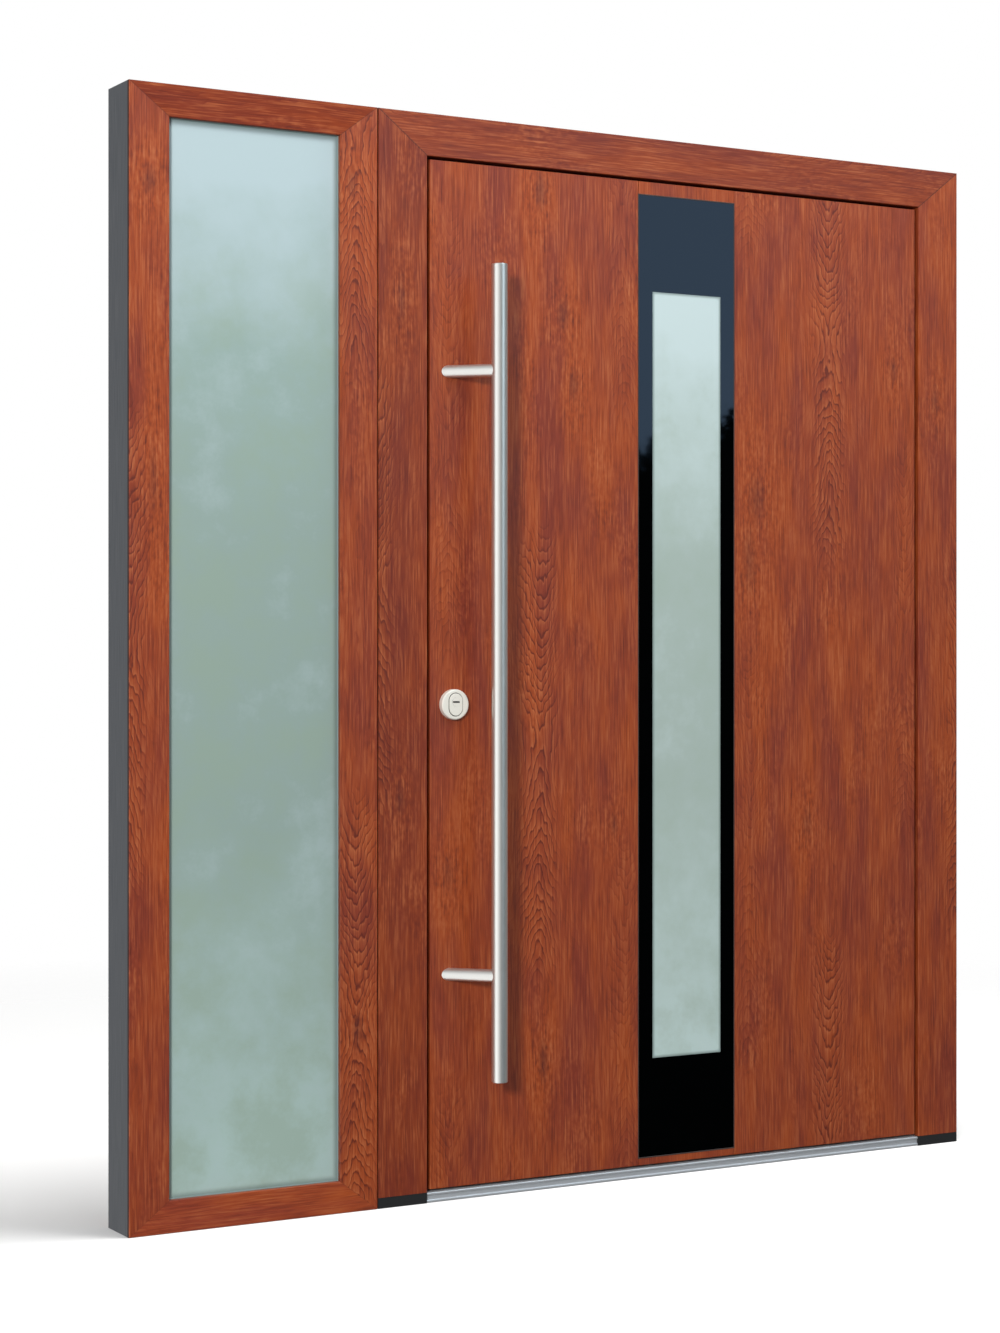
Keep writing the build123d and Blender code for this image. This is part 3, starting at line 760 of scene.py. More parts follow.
@dataclass(frozen=True)
class SatinGlass:
    """Float glass with an acid-etched grey green face, with a painted sky reflection paling it upwards and
    painted shade at its edges.
    """

    name: str
    area: Rect
    # From sky down to foot, the ramp colours are the glass's grey green tint with a painted reflection of sky
    # over trees
    sky: str = "#aec1c5"
    high: str = "#92a8a3"
    low: str = "#8ea29c"
    foot: str = "#a6beb9"
    # Painted shade of the frame along the edges of the glass
    rim: str = "#61726f"
    # Painted reflection of blurred foliage, with painted sky in its gaps
    foliage: str = "#8fa392"
    edge_shade_mm: float = 14.0
    edge_shade_share: float = 0.7
    corner_mm: float = 8.0
    ramp_wobble_mm: float = 170.0
    frost_mm: float = 3.0
    foliage_reflection_mm: float = 120.0
    foliage_reflection_share: float = 0.5
    sky_gap_reflection_share: float = 0.3
    sway: float = 0.34
    ior: float = 1.52

    def material(self) -> Material:
        """Build the etched glass: a ramp up the pane that paints a reflection of sky over trees, a painted
        blurred reflection of foliage with gaps of sky, and painted shade along the edge.

        Returns:
            The material.
        """
        material, tree, shader = new_material(self.name)
        add = partial(add_node, tree)
        place = add("TexCoord").outputs["Object"]
        axes = add("SeparateXYZ", place)
        across, upright = axes.outputs["X"], axes.outputs["Z"]
        ramp_wobble_scale, frost_scale, foliage_reflection_scale = per_size(self.ramp_wobble_mm, self.frost_mm, self.foliage_reflection_mm)
        ramp_wobble = add("TexNoise", place, ramp_wobble_scale, 3.0, 0.55)
        frost = add("TexNoise", place, frost_scale, 1.0, 0.6)
        foliage_reflection_noise = add("TexNoise", place, foliage_reflection_scale, 5.0, 0.65)
        # A ramp up the pane, made wavy by noise, paints the reflection of sky over trees
        lift = add("Math.MULTIPLY_ADD", ramp_wobble, self.sway, upright)
        height = add("MapRange", lift, self.area.bottom + self.sway / 2, self.area.top + self.sway / 2)
        levels = (0.0, 0.35, 0.62, 0.78, 0.95, 1.0)
        colours = (self.foot, self.low, self.low, self.high, self.sky, self.sky)
        body = add("ValToRGB", height, stops=[(at, linear(c)) for at, c in zip(levels, colours)])
        # Painted reflection of blurred foliage on the lower pane, and of sky in its gaps
        foliage_reflection_mask = add("MapRange", foliage_reflection_noise, 0.46, 0.64, 0.0, self.foliage_reflection_share)
        lower = add("MapRange", height, 0.95, 0.8, 0.0, 1.0)
        body = add("Mix", add("Math.MULTIPLY", foliage_reflection_mask, lower), body, linear(self.foliage))
        sky_reflection_gaps = add("MapRange", foliage_reflection_noise, 0.46, 0.3, 0.0, self.sky_gap_reflection_share)
        body = add("Mix", sky_reflection_gaps, body, linear(self.sky))
        # Painted shade along the edges, where the frame shades the glass
        beside = add(
            "Math.MINIMUM",
            add("Math.SUBTRACT", across, self.area.left),
            add("Math.SUBTRACT", self.area.right, across),
        )
        over = add(
            "Math.MINIMUM",
            add("Math.SUBTRACT", upright, self.area.bottom),
            add("Math.SUBTRACT", self.area.top, upright),
        )
        nearest = add("Math.SMOOTH_MIN", beside, over, self.corner_mm * MM)
        width = self.edge_shade_mm * MM
        rim = add("MapRange", nearest, 0.0, width, self.edge_shade_share, 0.0, interpolation_type="SMOOTHSTEP")
        colour = add("Mix", rim, body, linear(self.rim))
        rough = add("MapRange", frost, 0.3, 0.7, 0.4, 0.48)
        feed(tree, shader, Base_Color=colour, Roughness=rough, IOR=self.ior)
        return material


@dataclass(frozen=True)
class ClearGlass:
    """Polished float glass, clear with a breath of green and faint streaks from wiping."""

    name: str = "clear_float_glass"
    tint: str = "#e6f1ec"
    wipe_mm: tuple[float, float, float] = (60.0, 1000.0, 300.0)
    ior: float = 1.52

    def material(self) -> Material:
        """Build the clear glass.

        Returns:
            The material.
        """
        material, tree, shader = new_material(self.name)
        add = partial(add_node, tree)
        place = add("TexCoord").outputs["Object"]
        drawn = add("Mapping", place, Scale=per_size(*self.wipe_mm))
        wiped = add("TexNoise", drawn, 1.0, 3.0)
        rough = add("MapRange", wiped, 0.4, 0.8, 0.0, 0.035)
        feed(tree, shader, Roughness=rough, Base_Color=linear(self.tint), IOR=self.ior, Transmission_Weight=1.0)
        return material


@dataclass(frozen=True)
class BlackGlass:
    """Float glass with black enamel fired on its back: deep black with a clean, cool mirror on top."""

    name: str = "back_enamelled_black_glass"
    colour: str = "#020303"
    deep: str = "#010101"
    sheen: str = "#c4dcff"
    haze_mm: float = 90.0
    ior: float = 1.6

    def material(self) -> Material:
        """Build the black glass, with a trace of haze in the polish.

        Returns:
            The material.
        """
        material, tree, shader = new_material(self.name)
        add = partial(add_node, tree)
        place = add("TexCoord").outputs["Object"]
        haze = add("TexNoise", place, *per_size(self.haze_mm), 3.0, 0.6)
        rough = add("MapRange", haze, 0.3, 0.8, 0.01, 0.03)
        depth = add("Mix", haze, linear(self.deep), linear(self.colour))
        feed(tree, shader, Base_Color=depth, Roughness=rough, IOR=self.ior, Specular_Tint=linear(self.sheen))
        return material


@dataclass(frozen=True)
class BrushedMetal:
    """Metal brushed in one direction: a soft sheen drawn out across the fine scratches.

    A brushed, blasted or anodised face scatters part of the light, so its metallic share is lower. Where
    a depth is given, what lies behind it is painted dark as the shade inside a keyway.
    """

    name: str
    colour: str
    dull: str
    brush_mm: tuple[float, float, float]
    roughness: float = 0.3
    spread: float = 0.08
    metallic: float = 1.0
    bump: float = 0.03
    scratch_mm: float = 0.05
    cloud_mm: float = 80.0
    cloud_share: float = 0.3
    # Depth behind which the face is painted dark as shade, and the colour of that painted shade
    painted_shade_behind: float | None = None
    painted_shade: str = "#0c0b0a"

    def material(self) -> Material:
        """Build the brushing as noise drawn out along the scratches, coarser than life so that it shows.

        Returns:
            The material.
        """
        material, tree, shader = new_material(self.name)
        add = partial(add_node, tree)
        place = add("TexCoord").outputs["Object"]
        drawn = add("Mapping", place, Scale=per_size(*self.brush_mm))
        brush = add("TexNoise", drawn, 1.0, 2.0, 0.65)
        cloud = add("TexNoise", place, *per_size(self.cloud_mm), 1.0, 0.5)
        clouded = add("Math.MULTIPLY", cloud, self.cloud_share)
        blend = add("Math.MULTIPLY_ADD", brush, 1 - self.cloud_share, clouded)
        colour = add("Mix", blend, linear(self.dull), linear(self.colour))
        # Painted shade: behind the given depth the colour turns dark
        if self.painted_shade_behind is not None:
            depth = add("SeparateXYZ", place).outputs["Y"]
            deep = add("Math.GREATER_THAN", depth, self.painted_shade_behind)
            colour = add("Mix", deep, colour, linear(self.painted_shade))
        low, high = self.roughness - self.spread, self.roughness + self.spread
        rough = add("MapRange", brush, 0.25, 0.75, low, high)
        bump = add("Bump", self.bump, self.scratch_mm * MM, Height=brush)
        feed(tree, shader, Base_Color=colour, Roughness=rough, Normal=bump, Metallic=self.metallic)
        return material


@dataclass(frozen=True)
class Moulded:
    """Plastic, rubber, silicone or foam: an even body colour with a fine skin and slow cloudiness."""

    name: str
    colour: str
    deep: str
    grain_mm: tuple[float, float, float]
    roughness: float
    spread: float = 0.07
    bump: float = 0.15
    skin_mm: float = 0.1
    ior: float = 1.5

    def material(self) -> Material:
        """Build the skin as noise sized from the moulding's own grain.

        Returns:
            The material.
        """
        material, tree, shader = new_material(self.name)
        add = partial(add_node, tree)
        place = add("TexCoord").outputs["Object"]
        drawn = add("Mapping", place, Scale=per_size(*self.grain_mm))
        skin = add("TexNoise", drawn, 1.0, 3.0, 0.6)
        colour = add("Mix", skin, linear(self.deep), linear(self.colour))
        rough = add("MapRange", skin, 0.3, 0.7, self.roughness - self.spread, self.roughness + self.spread)
        bump = add("Bump", self.bump, self.skin_mm * MM, Height=skin)
        feed(tree, shader, Base_Color=colour, Roughness=rough, Normal=bump, IOR=self.ior)
        return material


STAINLESS = BrushedMetal("brushed_stainless_steel", "#e8e8e4", "#dadbd8", (1.2, 1.2, 90.0), 0.34, 0.05, 0.88)
NICKEL = BrushedMetal("blasted_satin_nickel", "#f6f3e9", "#ebe8dd", (1.6, 1.6, 1.6), 0.42, 0.05, 0.2)
ALUMINIUM = BrushedMetal("anodised_aluminium", "#cfd2d6", "#bec1c5", (120.0, 1.4, 1.4), 0.4, 0.06, 0.45)
ZINC = BrushedMetal("zinc_plated_steel", "#c9ccd0", "#adb0b4", (1.5, 1.5, 1.5), 0.32, 0.06)
PLASTIC = Moulded("moulded_black_polyamide", "#232222", "#1a1919", (1.8, 1.8, 1.8), 0.5)
RUBBER = Moulded("extruded_epdm_rubber", "#1d1e20", "#141516", (3.0, 3.0, 40.0), 0.62)
SILICONE = Moulded("dark_silicone_joint", "#44352f", "#382b27", (2.5, 2.5, 12.0), 0.45)
FOAM = Moulded("rigid_polyurethane_foam", "#d9cd9f", "#c6b988", (2.2, 2.2, 2.2), 0.85)
PANE_SEAL = Moulded("grey_glazing_gasket", "#869695", "#788786", (3.0, 3.0, 30.0), 0.55)


# Plum and amber of the pieces drawn darker and of the piece drawn paler than the rest
DARKER = {"plum": "#752c18", "amber": "#873714"}
PALER = {"plum": "#8e3a23", "amber": "#a2481c"}


@dataclass
class Sidelight:
    """The fixed glazed field beside the door."""

    stile_face: float = 0.080
    rail_face: float = 0.061
    lip_width: float = 2.2 * MM
    lip_root: float = 1.4 * MM
    lip_top_share: float = 0.4
    lip_clearance: float = 0.2 * MM
    upper_seam: float = 0.45
    lower_seam: float = 0.2

    def opening(self) -> Rect:
        """The glass that shows between the frame members."""
        whole = Rect(
            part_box("sidelight_stile_left")[0].x,
            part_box("sidelight_stile_right")[1].x,
            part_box("sidelight_sill")[0].z,
            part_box("sidelight_head")[1].z,
        )
        return Rect(
            whole.left + self.stile_face,
            whole.right - self.stile_face,
            whole.bottom + self.rail_face,
            whole.top - self.rail_face,
        )

    def mitre(self, corner: Corner) -> Mitre:
        """The mitre at one corner of the glass.

        Args:
            corner: Which corner.

        Returns:
            The mitre.
        """
        area = self.opening()
        side, end = corner.value
        place = (area.left if side < 0 else area.right, area.bottom if end < 0 else area.top)
        strength = self.lower_seam if end < 0 else self.upper_seam
        return Mitre(place, corner, self.stile_face, self.rail_face, strength)

    def build(self) -> None:
        """Dress the frame, the glass and the beads."""
        area = self.opening()
        low, high = cad_box
        upper_left, upper_right = self.mitre(Corner.UPPER_LEFT), self.mitre(Corner.UPPER_RIGHT)
        lower_left, lower_right = self.mitre(Corner.LOWER_LEFT), self.mitre(Corner.LOWER_RIGHT)
        right_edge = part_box("sidelight_stile_right")[1].x
        members = {
            "sidelight_stile_left": OakFoil(
                "left_stile",
                Grain.UPRIGHT,
                flame=(-0.98, 2.78),
                column=3,
                mitres=(upper_left, lower_left),
                bare_side=BareSide("X", low.x),
                spots=(Spot(49, -832, 12, 24, 0.45), Spot(53, -1385, 8, 60, 0.35)),
            ),
            "sidelight_stile_right": OakFoil(
                "right_stile",
                Grain.UPRIGHT,
                flame=(-0.505, 2.05),
                column=6,
                mitres=(upper_right, lower_right),
                bare_side=BareSide("X", right_edge),
                spots=(Spot(-10, -75, 9, 26, 0.4), Spot(1, -1700, 11, 34, 0.45)),
            ),
            "sidelight_head": OakFoil(
                "sidelight_head",
                Grain.LEVEL,
                flame=(2.12, -1.5),
                column=9,
                mitres=(upper_left, upper_right),
                bare_side=BareSide("Z", high.z),
                **DARKER,
                gloss=0.28,
            ),
            "sidelight_sill": OakFoil(
                "sidelight_sill",
                Grain.LEVEL,
                flame=(0.10, 0.4),
                column=12,
                mitres=(lower_left, lower_right),
                bare_side=BareSide("Z", low.z),
                **PALER,
            ),
        }
        for name, foil in members.items():
            dress(foil, name)
        dress(SatinGlass("etched_sidelight_glass", area), "sidelight_outer_pane")
        dress(ClearGlass(), "sidelight_inner_pane")
        dress(PANE_SEAL, "sidelight_outer_gasket", "sidelight_inner_gasket")
        dress(ALUMINIUM, "sidelight_spacer")
        dress(OakFoil("glazing_beads", Grain.UPRIGHT, (-0.6, 0.3), 15), "sidelight_beads")
        for place, towards in (("outer", 1), ("inner", -1)):
            self.lip(place, towards)

    def lip(self, place: str, towards: int) -> None:
        """The lip of a glazing gasket that shows beside the glass: a wedge carried round the opening.

        Args:
            place: Which gasket it belongs to.
            towards: The way along Y from the gasket's outer face to the glass.
        """
        low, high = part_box(f"sidelight_{place}_gasket")
        middle, half = (low.y + high.y) / 2, (high.y - low.y) / 2 - self.lip_clearance
        away, glass = middle - towards * half, middle + towards * half
        root, top = self.lip_root, self.lip_top_share * self.lip_width
        profile = np.array([(root, away), (-top, away), (-self.lip_width, glass), (root, glass)])
        shape = swept(self.opening().corners(), AROUND, profile, True)
        new_piece(f"sidelight_{place}_lip", shape, PANE_SEAL, Body.FRAME)


@dataclass
class DoorFrame:
    """Jambs, head, coupling, stop seal and strike plate."""

    jamb_face: float = 0.107
    head_face: float = 0.083
    seam: float = 0.75
    seal_width: float = 12 * MM
    seal_foot_share: float = 0.35
    seal_bulb_share: float = 0.36
    strike_screw_heights: tuple[float, float, float] = (0.012, 0.056, 0.166)
    screw_radius: float = 3.6 * MM

    def mitre(self, corner: Corner) -> Mitre:
        """The mitre at one upper corner of the doorway.

        Args:
            corner: Which corner.

        Returns:
            The mitre.
        """
        side, _ = corner.value
        name = "jamb_lock" if side < 0 else "jamb_hinge"
        low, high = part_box(name)
        inner = low.x + self.jamb_face if side < 0 else high.x - self.jamb_face
        corner_place = (inner, cad_box[1].z - self.head_face)
        return Mitre(corner_place, corner, self.jamb_face, self.head_face, self.seam)

    def build(self) -> None:
        """Dress the frame members and fittings."""
        high = cad_box[1]
        left, right = self.mitre(Corner.UPPER_LEFT), self.mitre(Corner.UPPER_RIGHT)
        door_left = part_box("jamb_lock")[0].x
        members = {
            "jamb_lock": OakFoil(
                "lock_jamb",
                Grain.UPRIGHT,
                flame=(-0.47, 1.2),
                column=18,
                mitres=(left,),
                bare_side=BareSide("X", door_left),
                **DARKER,
                spots=(Spot(59, -410, 10, 26, 0.45), Spot(64, 561, 9, 40, 0.4)),
            ),
            "jamb_hinge": OakFoil(
                "hinge_jamb",
                Grain.UPRIGHT,
                flame=(0.99, 0.9),
                column=21,
                mitres=(right,),
                bare_side=BareSide("X", high.x),
                spots=(Spot(-79, 728, 9, 26, 0.4),),
            ),
            "door_head": OakFoil(
                "door_head",
                Grain.LEVEL,
                flame=(2.16, 0.9),
                column=24,
                mitres=(left, right),
                bare_side=BareSide("Z", high.z),
                **DARKER,
            ),
        }
        for name, foil in members.items():
            dress(foil, name)
        dress(PowderCoat(), "coupling_strip")
        dress(RUBBER, "frame_seal")
        dress(STAINLESS, "strike_plate")
        self.stop_seal()
        self.strike_screws()

    def stop_seal(self) -> None:
        """The stop seal: a flat foot with a half-round bulb, carried up one jamb, over and down the other."""
        low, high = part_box("frame_seal")
        depth = high.y - low.y
        foot = self.seal_foot_share * depth
        width = self.seal_width
        bulb = half_round(-0.5 * width, self.seal_bulb_share * width, low.y + foot, depth - foot, 11)
        outer = [(0.0, low.y), (0.0, low.y + foot)]
        inner = [(-width, low.y + foot), (-width, low.y)]
        slope = self.head_face / self.jamb_face
        outward = np.array([[-1, 0], [-1, slope], [1, slope], [1, 0]])
        shape = swept(Rect.of("frame_seal").corners(), outward, np.concatenate([outer, bulb, inner]), False)
        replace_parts(new_piece("stop_seal", shape, RUBBER, Body.FRAME), "frame_seal")

    def strike_screws(self) -> None:
        """The screws that hold the strike plate."""
        low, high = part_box("strike_plate")
        heights = low.z + np.array(self.strike_screw_heights)
        places = np.stack(np.broadcast_arrays(high.x, (low.y + high.y) / 2, heights), -1)
        shape = ScrewHead(self.screw_radius).shape(places, Facing.HINGE_SIDE)
        new_piece("strike_screws", shape, ZINC, Body.FRAME)


@dataclass
class Threshold:
    """The aluminium sill, its thermal break and the blocks under the jambs."""

    def build(self) -> None:
        """Dress the three."""
        dress(ALUMINIUM, "threshold_sill")
        dress(PLASTIC, "threshold_break", "threshold_end_blocks")


@dataclass
class Leaf:
    """The swinging leaf: sash, core, skins and the glass strip."""

    bead_width: float = 2.4 * MM
    bead_height: float = 0.5 * MM
    bead_root: float = 0.8 * MM
    bead_root_inset: float = 0.1 * MM
    joint: float = 1.0 * MM
    drop_seal_width: float = 4.0 * MM
    drop_seal_height: float = 3.5 * MM
    drop_seal_inset: float = 4.0 * MM
    drop_seal_depth: float = 32 * MM

    def build(self) -> None:
        """Dress the leaf, close the joints round the glass strip and hang the seal under the leaf."""
        lock_spots = (
            Spot(2, 1132, 10, 34, 0.5),
            Spot(54, 884, 13, 26, 0.45),
            Spot(82, 745, 10, 30, 0.4),
            Spot(12, -612, 10, 36, 0.55),
            Spot(178, -146, 9, 22, 0.4),
            Spot(-205, -230, 12, 30, 0.35),
        )
        hinge_spots = (
            Spot(175, -33, 9, 26, 0.4),
            Spot(-183, -325, 18, 46, 0.4),
            Spot(-203, -452, 15, 60, 0.4),
            Spot(-60, -1010, 12, 30, 0.35),
        )
        boards = {
            "outer_skin_lock_side": ("lock_board", (-0.092, 0.871), 0, lock_spots),
            "outer_skin_hinge_side": ("hinge_board", (0.629, 1.722), 27, hinge_spots),
            "outer_skin_above_glass": ("board_above_glass", (0.33, 0.9), 30, ()),
            "outer_skin_below_glass": ("board_below_glass", (0.2, 0.9), 33, ()),
            "inner_skin": ("inner_board", (0.0, 1.1), 36, lock_spots),
        }
        for name, (board, flame, column, spots) in boards.items():
            dress(OakFoil(board, Grain.UPRIGHT, flame, column, spots=spots), name)
        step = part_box("frame_seal")[0].y
        stiles = OakFoil("sash_stiles", Grain.UPRIGHT, (0.3, 0.4), 39, bare_behind=step)
        rails = OakFoil("sash_rails", Grain.LEVEL, (1.1, 0.4), 42, bare_behind=step)
        dress(stiles, "sash_stile_lock", "sash_stile_hinge")
        dress(rails, "sash_top_rail", "sash_bottom_rail")
        dress(PLASTIC, "window_edge_frame")
        dress(FOAM, "panel_core")
        dress(BlackGlass(), "glass_surround_outer", "glass_surround_inner")
        # The window glass likewise paints a reflection of sky over trees and shade at its edges
        window = SatinGlass(
            "etched_window_glass",
            Rect.of("window_pane_outer"),
            sky="#c1d3d4",
            high="#b3c5c2",
            low="#a5b6b0",
            foot="#b9cecb",
            foliage="#9fb1a6",
            edge_shade_mm=7.0,
        )
        dress(window, "window_pane_outer")
        dress(ClearGlass(), "window_pane_inner")
        self.bead("outer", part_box("glass_surround_outer")[0].y, -1)
        self.bead("inner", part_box("glass_surround_inner")[1].y, 1)
        self.drop_seal()

    def bead(self, place: str, face: float, towards: int) -> None:
        """The silicone joint round the glass strip: a low arch over the joint with its root in it.

        Args:
            place: Which glass it goes round.
            face: Depth of the leaf's face there.
            towards: The way out of that face along Y.
        """
        arch = half_round(0.5 * self.joint, 0.5 * self.bead_width, face, towards * self.bead_height, 9)
        root, inset = face - towards * self.bead_root, self.bead_root_inset
        profile = np.concatenate([arch, [(inset, root), (self.joint - inset, root)]])
        shape = swept(Rect.of(f"glass_surround_{place}").corners(), AROUND, profile, True)
        new_piece(f"glass_joint_{place}", shape, SILICONE, Body.LEAF)

    def drop_seal(self) -> None:
        """The seal under the leaf: a rounded lip that runs from edge to edge, clear of the threshold."""
        low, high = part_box("outer_skin_lock_side")[0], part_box("outer_skin_hinge_side")[1]
        middle = low.y + self.drop_seal_depth
        half_width, half_height = self.drop_seal_width / 2, self.drop_seal_height / 2
        lip = half_round(middle, half_width, -half_height, -half_height, 9)[:, ::-1]
        top = [(0.0, middle - half_width), (0.0, middle + half_width)]
        corners = np.array([[low.x + self.drop_seal_inset, low.z], [high.x - self.drop_seal_inset, low.z]])
        shape = swept(corners, np.array([[0, 1], [0, 1]]), np.concatenate([lip, top]), False)
        new_piece("leaf_drop_seal", shape, RUBBER, Body.LEAF)


@dataclass
class Fittings:
    """Handle, lock, lever and hinges."""

    hinge_heights: tuple[float, float, float] = (0.26, 1.10, 1.80)
    plate_screw_rise: tuple[float, float] = (0.016, 0.047)
    plate_middle: float = 0.017
    plate_thickness: float = 4 * MM
    plate_stagger: float = 0.007
    faceplate_screw_heights: tuple[float, ...] = (0.019, 0.24, 0.46, 0.68, 1.04, 1.29, 1.607)
    hinge_screw_radius: float = 4.2 * MM
    faceplate_screw_radius: float = 3.6 * MM
    keyway_lip: float = 0.1 * MM
    # Size of the dark strip that paints the shadow in the joint round the lock cover
    shadow_strip_width: float = 1.3 * MM
    shadow_strip_root: float = 2.0 * MM
    shadow_strip_proud: float = 0.1 * MM
    shadow_strip_points: int = 25

    def build(self) -> None:
        """Dress the metal fittings and drive their screws."""
        dress(STAINLESS, "handle_bar", "handle_support_upper", "handle_support_lower")
        dress(STAINLESS, "inside_lever", "lever_rosette", "inner_lock_rosette")
        dress(NICKEL, "lock_rosette", "lock_cover")
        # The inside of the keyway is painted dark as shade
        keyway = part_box("key_plug")[0].y + self.keyway_lip
        dress(replace(NICKEL, name="nickel_keyway_painted_shade", painted_shade_behind=keyway), "key_plug")
        dress(STAINLESS, "lock_faceplate", "lock_bolts")
        dress(STAINLESS, "hinge_frame_halves", "hinge_leaf_halves")
        self.hinge_screws("frame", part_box("hinge_frame_halves")[1].x - self.plate_middle, Body.FRAME)
        self.hinge_screws("leaf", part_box("hinge_leaf_halves")[0].x + self.plate_middle, Body.LEAF)
        self.faceplate_screws()
        self.cover_shadow_strip()

    def cover_shadow_strip(self) -> None:
        """A dark strip in the joint round the lock cover that paints the shadow in the gap: a flat strip
        carried round the cover's outline.

        The outline is a half circle over and a half circle under two straight sides, and the strip's outward
        step at each point is the circle's own direction there.
        """
        low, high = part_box("lock_cover")
        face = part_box("lock_rosette")[0].y
        radius = (high.x - low.x) / 2
        rise = (high.z - low.z) / 2 - radius
        half_turn = np.linspace(0.0, math.pi, self.shadow_strip_points)
        turn = np.concatenate([half_turn, math.pi + half_turn])
        outward = np.stack([np.cos(turn), np.sin(turn)], -1)
        middle = np.array([(low.x + high.x) / 2, (low.z + high.z) / 2])
        lift = np.stack([np.zeros(turn.size), np.repeat([rise, -rise], self.shadow_strip_points)], -1)
        skin, root, width = face - self.shadow_strip_proud, face + self.shadow_strip_root, self.shadow_strip_width
        profile = np.array([(0.0, skin), (width, skin), (width, root), (0.0, root)])
        shape = swept(middle + lift + radius * outward, outward, profile, True)
        new_piece("lock_cover_shadow_strip", shape, PLASTIC, Body.LEAF)

    def hinge_screws(self, place: str, middle: float, body: Body) -> None:
        """Four screws in a zigzag on each hinge plate.

        Args:
            place: Which half of the hinges.
            middle: Middle of the plates across the door.
            body: The body that the half belongs to.
        """
        near, far = self.plate_screw_rise
        rise = np.array([-far, -near, near, far])
        aside = self.plate_stagger * np.array([1, -1, 1, -1])
        heights = (np.array(self.hinge_heights)[:, None] + rise[None, :]).ravel()
        across = middle + np.tile(aside, len(self.hinge_heights))
        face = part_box("hinge_frame_halves")[0].y + self.plate_thickness
        places = np.stack(np.broadcast_arrays(across, face, heights), -1)
        shape = ScrewHead(self.hinge_screw_radius).shape(places, Facing.HOUSE)
        new_piece(f"hinge_screws_{place}", shape, ZINC, body)

    def faceplate_screws(self) -> None:
        """Screws down the lock's faceplate, between the bolts."""
        low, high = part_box("lock_faceplate")
        heights = low.z + np.array(self.faceplate_screw_heights)
        places = np.stack(np.broadcast_arrays(low.x, (low.y + high.y) / 2, heights), -1)
        shape = ScrewHead(self.faceplate_screw_radius).shape(places, Facing.LOCK_SIDE)
        new_piece("faceplate_screws", shape, ZINC, Body.LEAF)


@dataclass(frozen=True)
class Lamp:
    """An area lamp that faces the middle of the door.

    The azimuth is in degrees to the right of straight in front of the door, the elevation in degrees above
    its middle, and away is the distance from there.
    """

    name: str
    azimuth: float
    elevation: float
    away: float
    size: tuple[float, float]
    watts: float
    floor_light: FloorLight | None = None


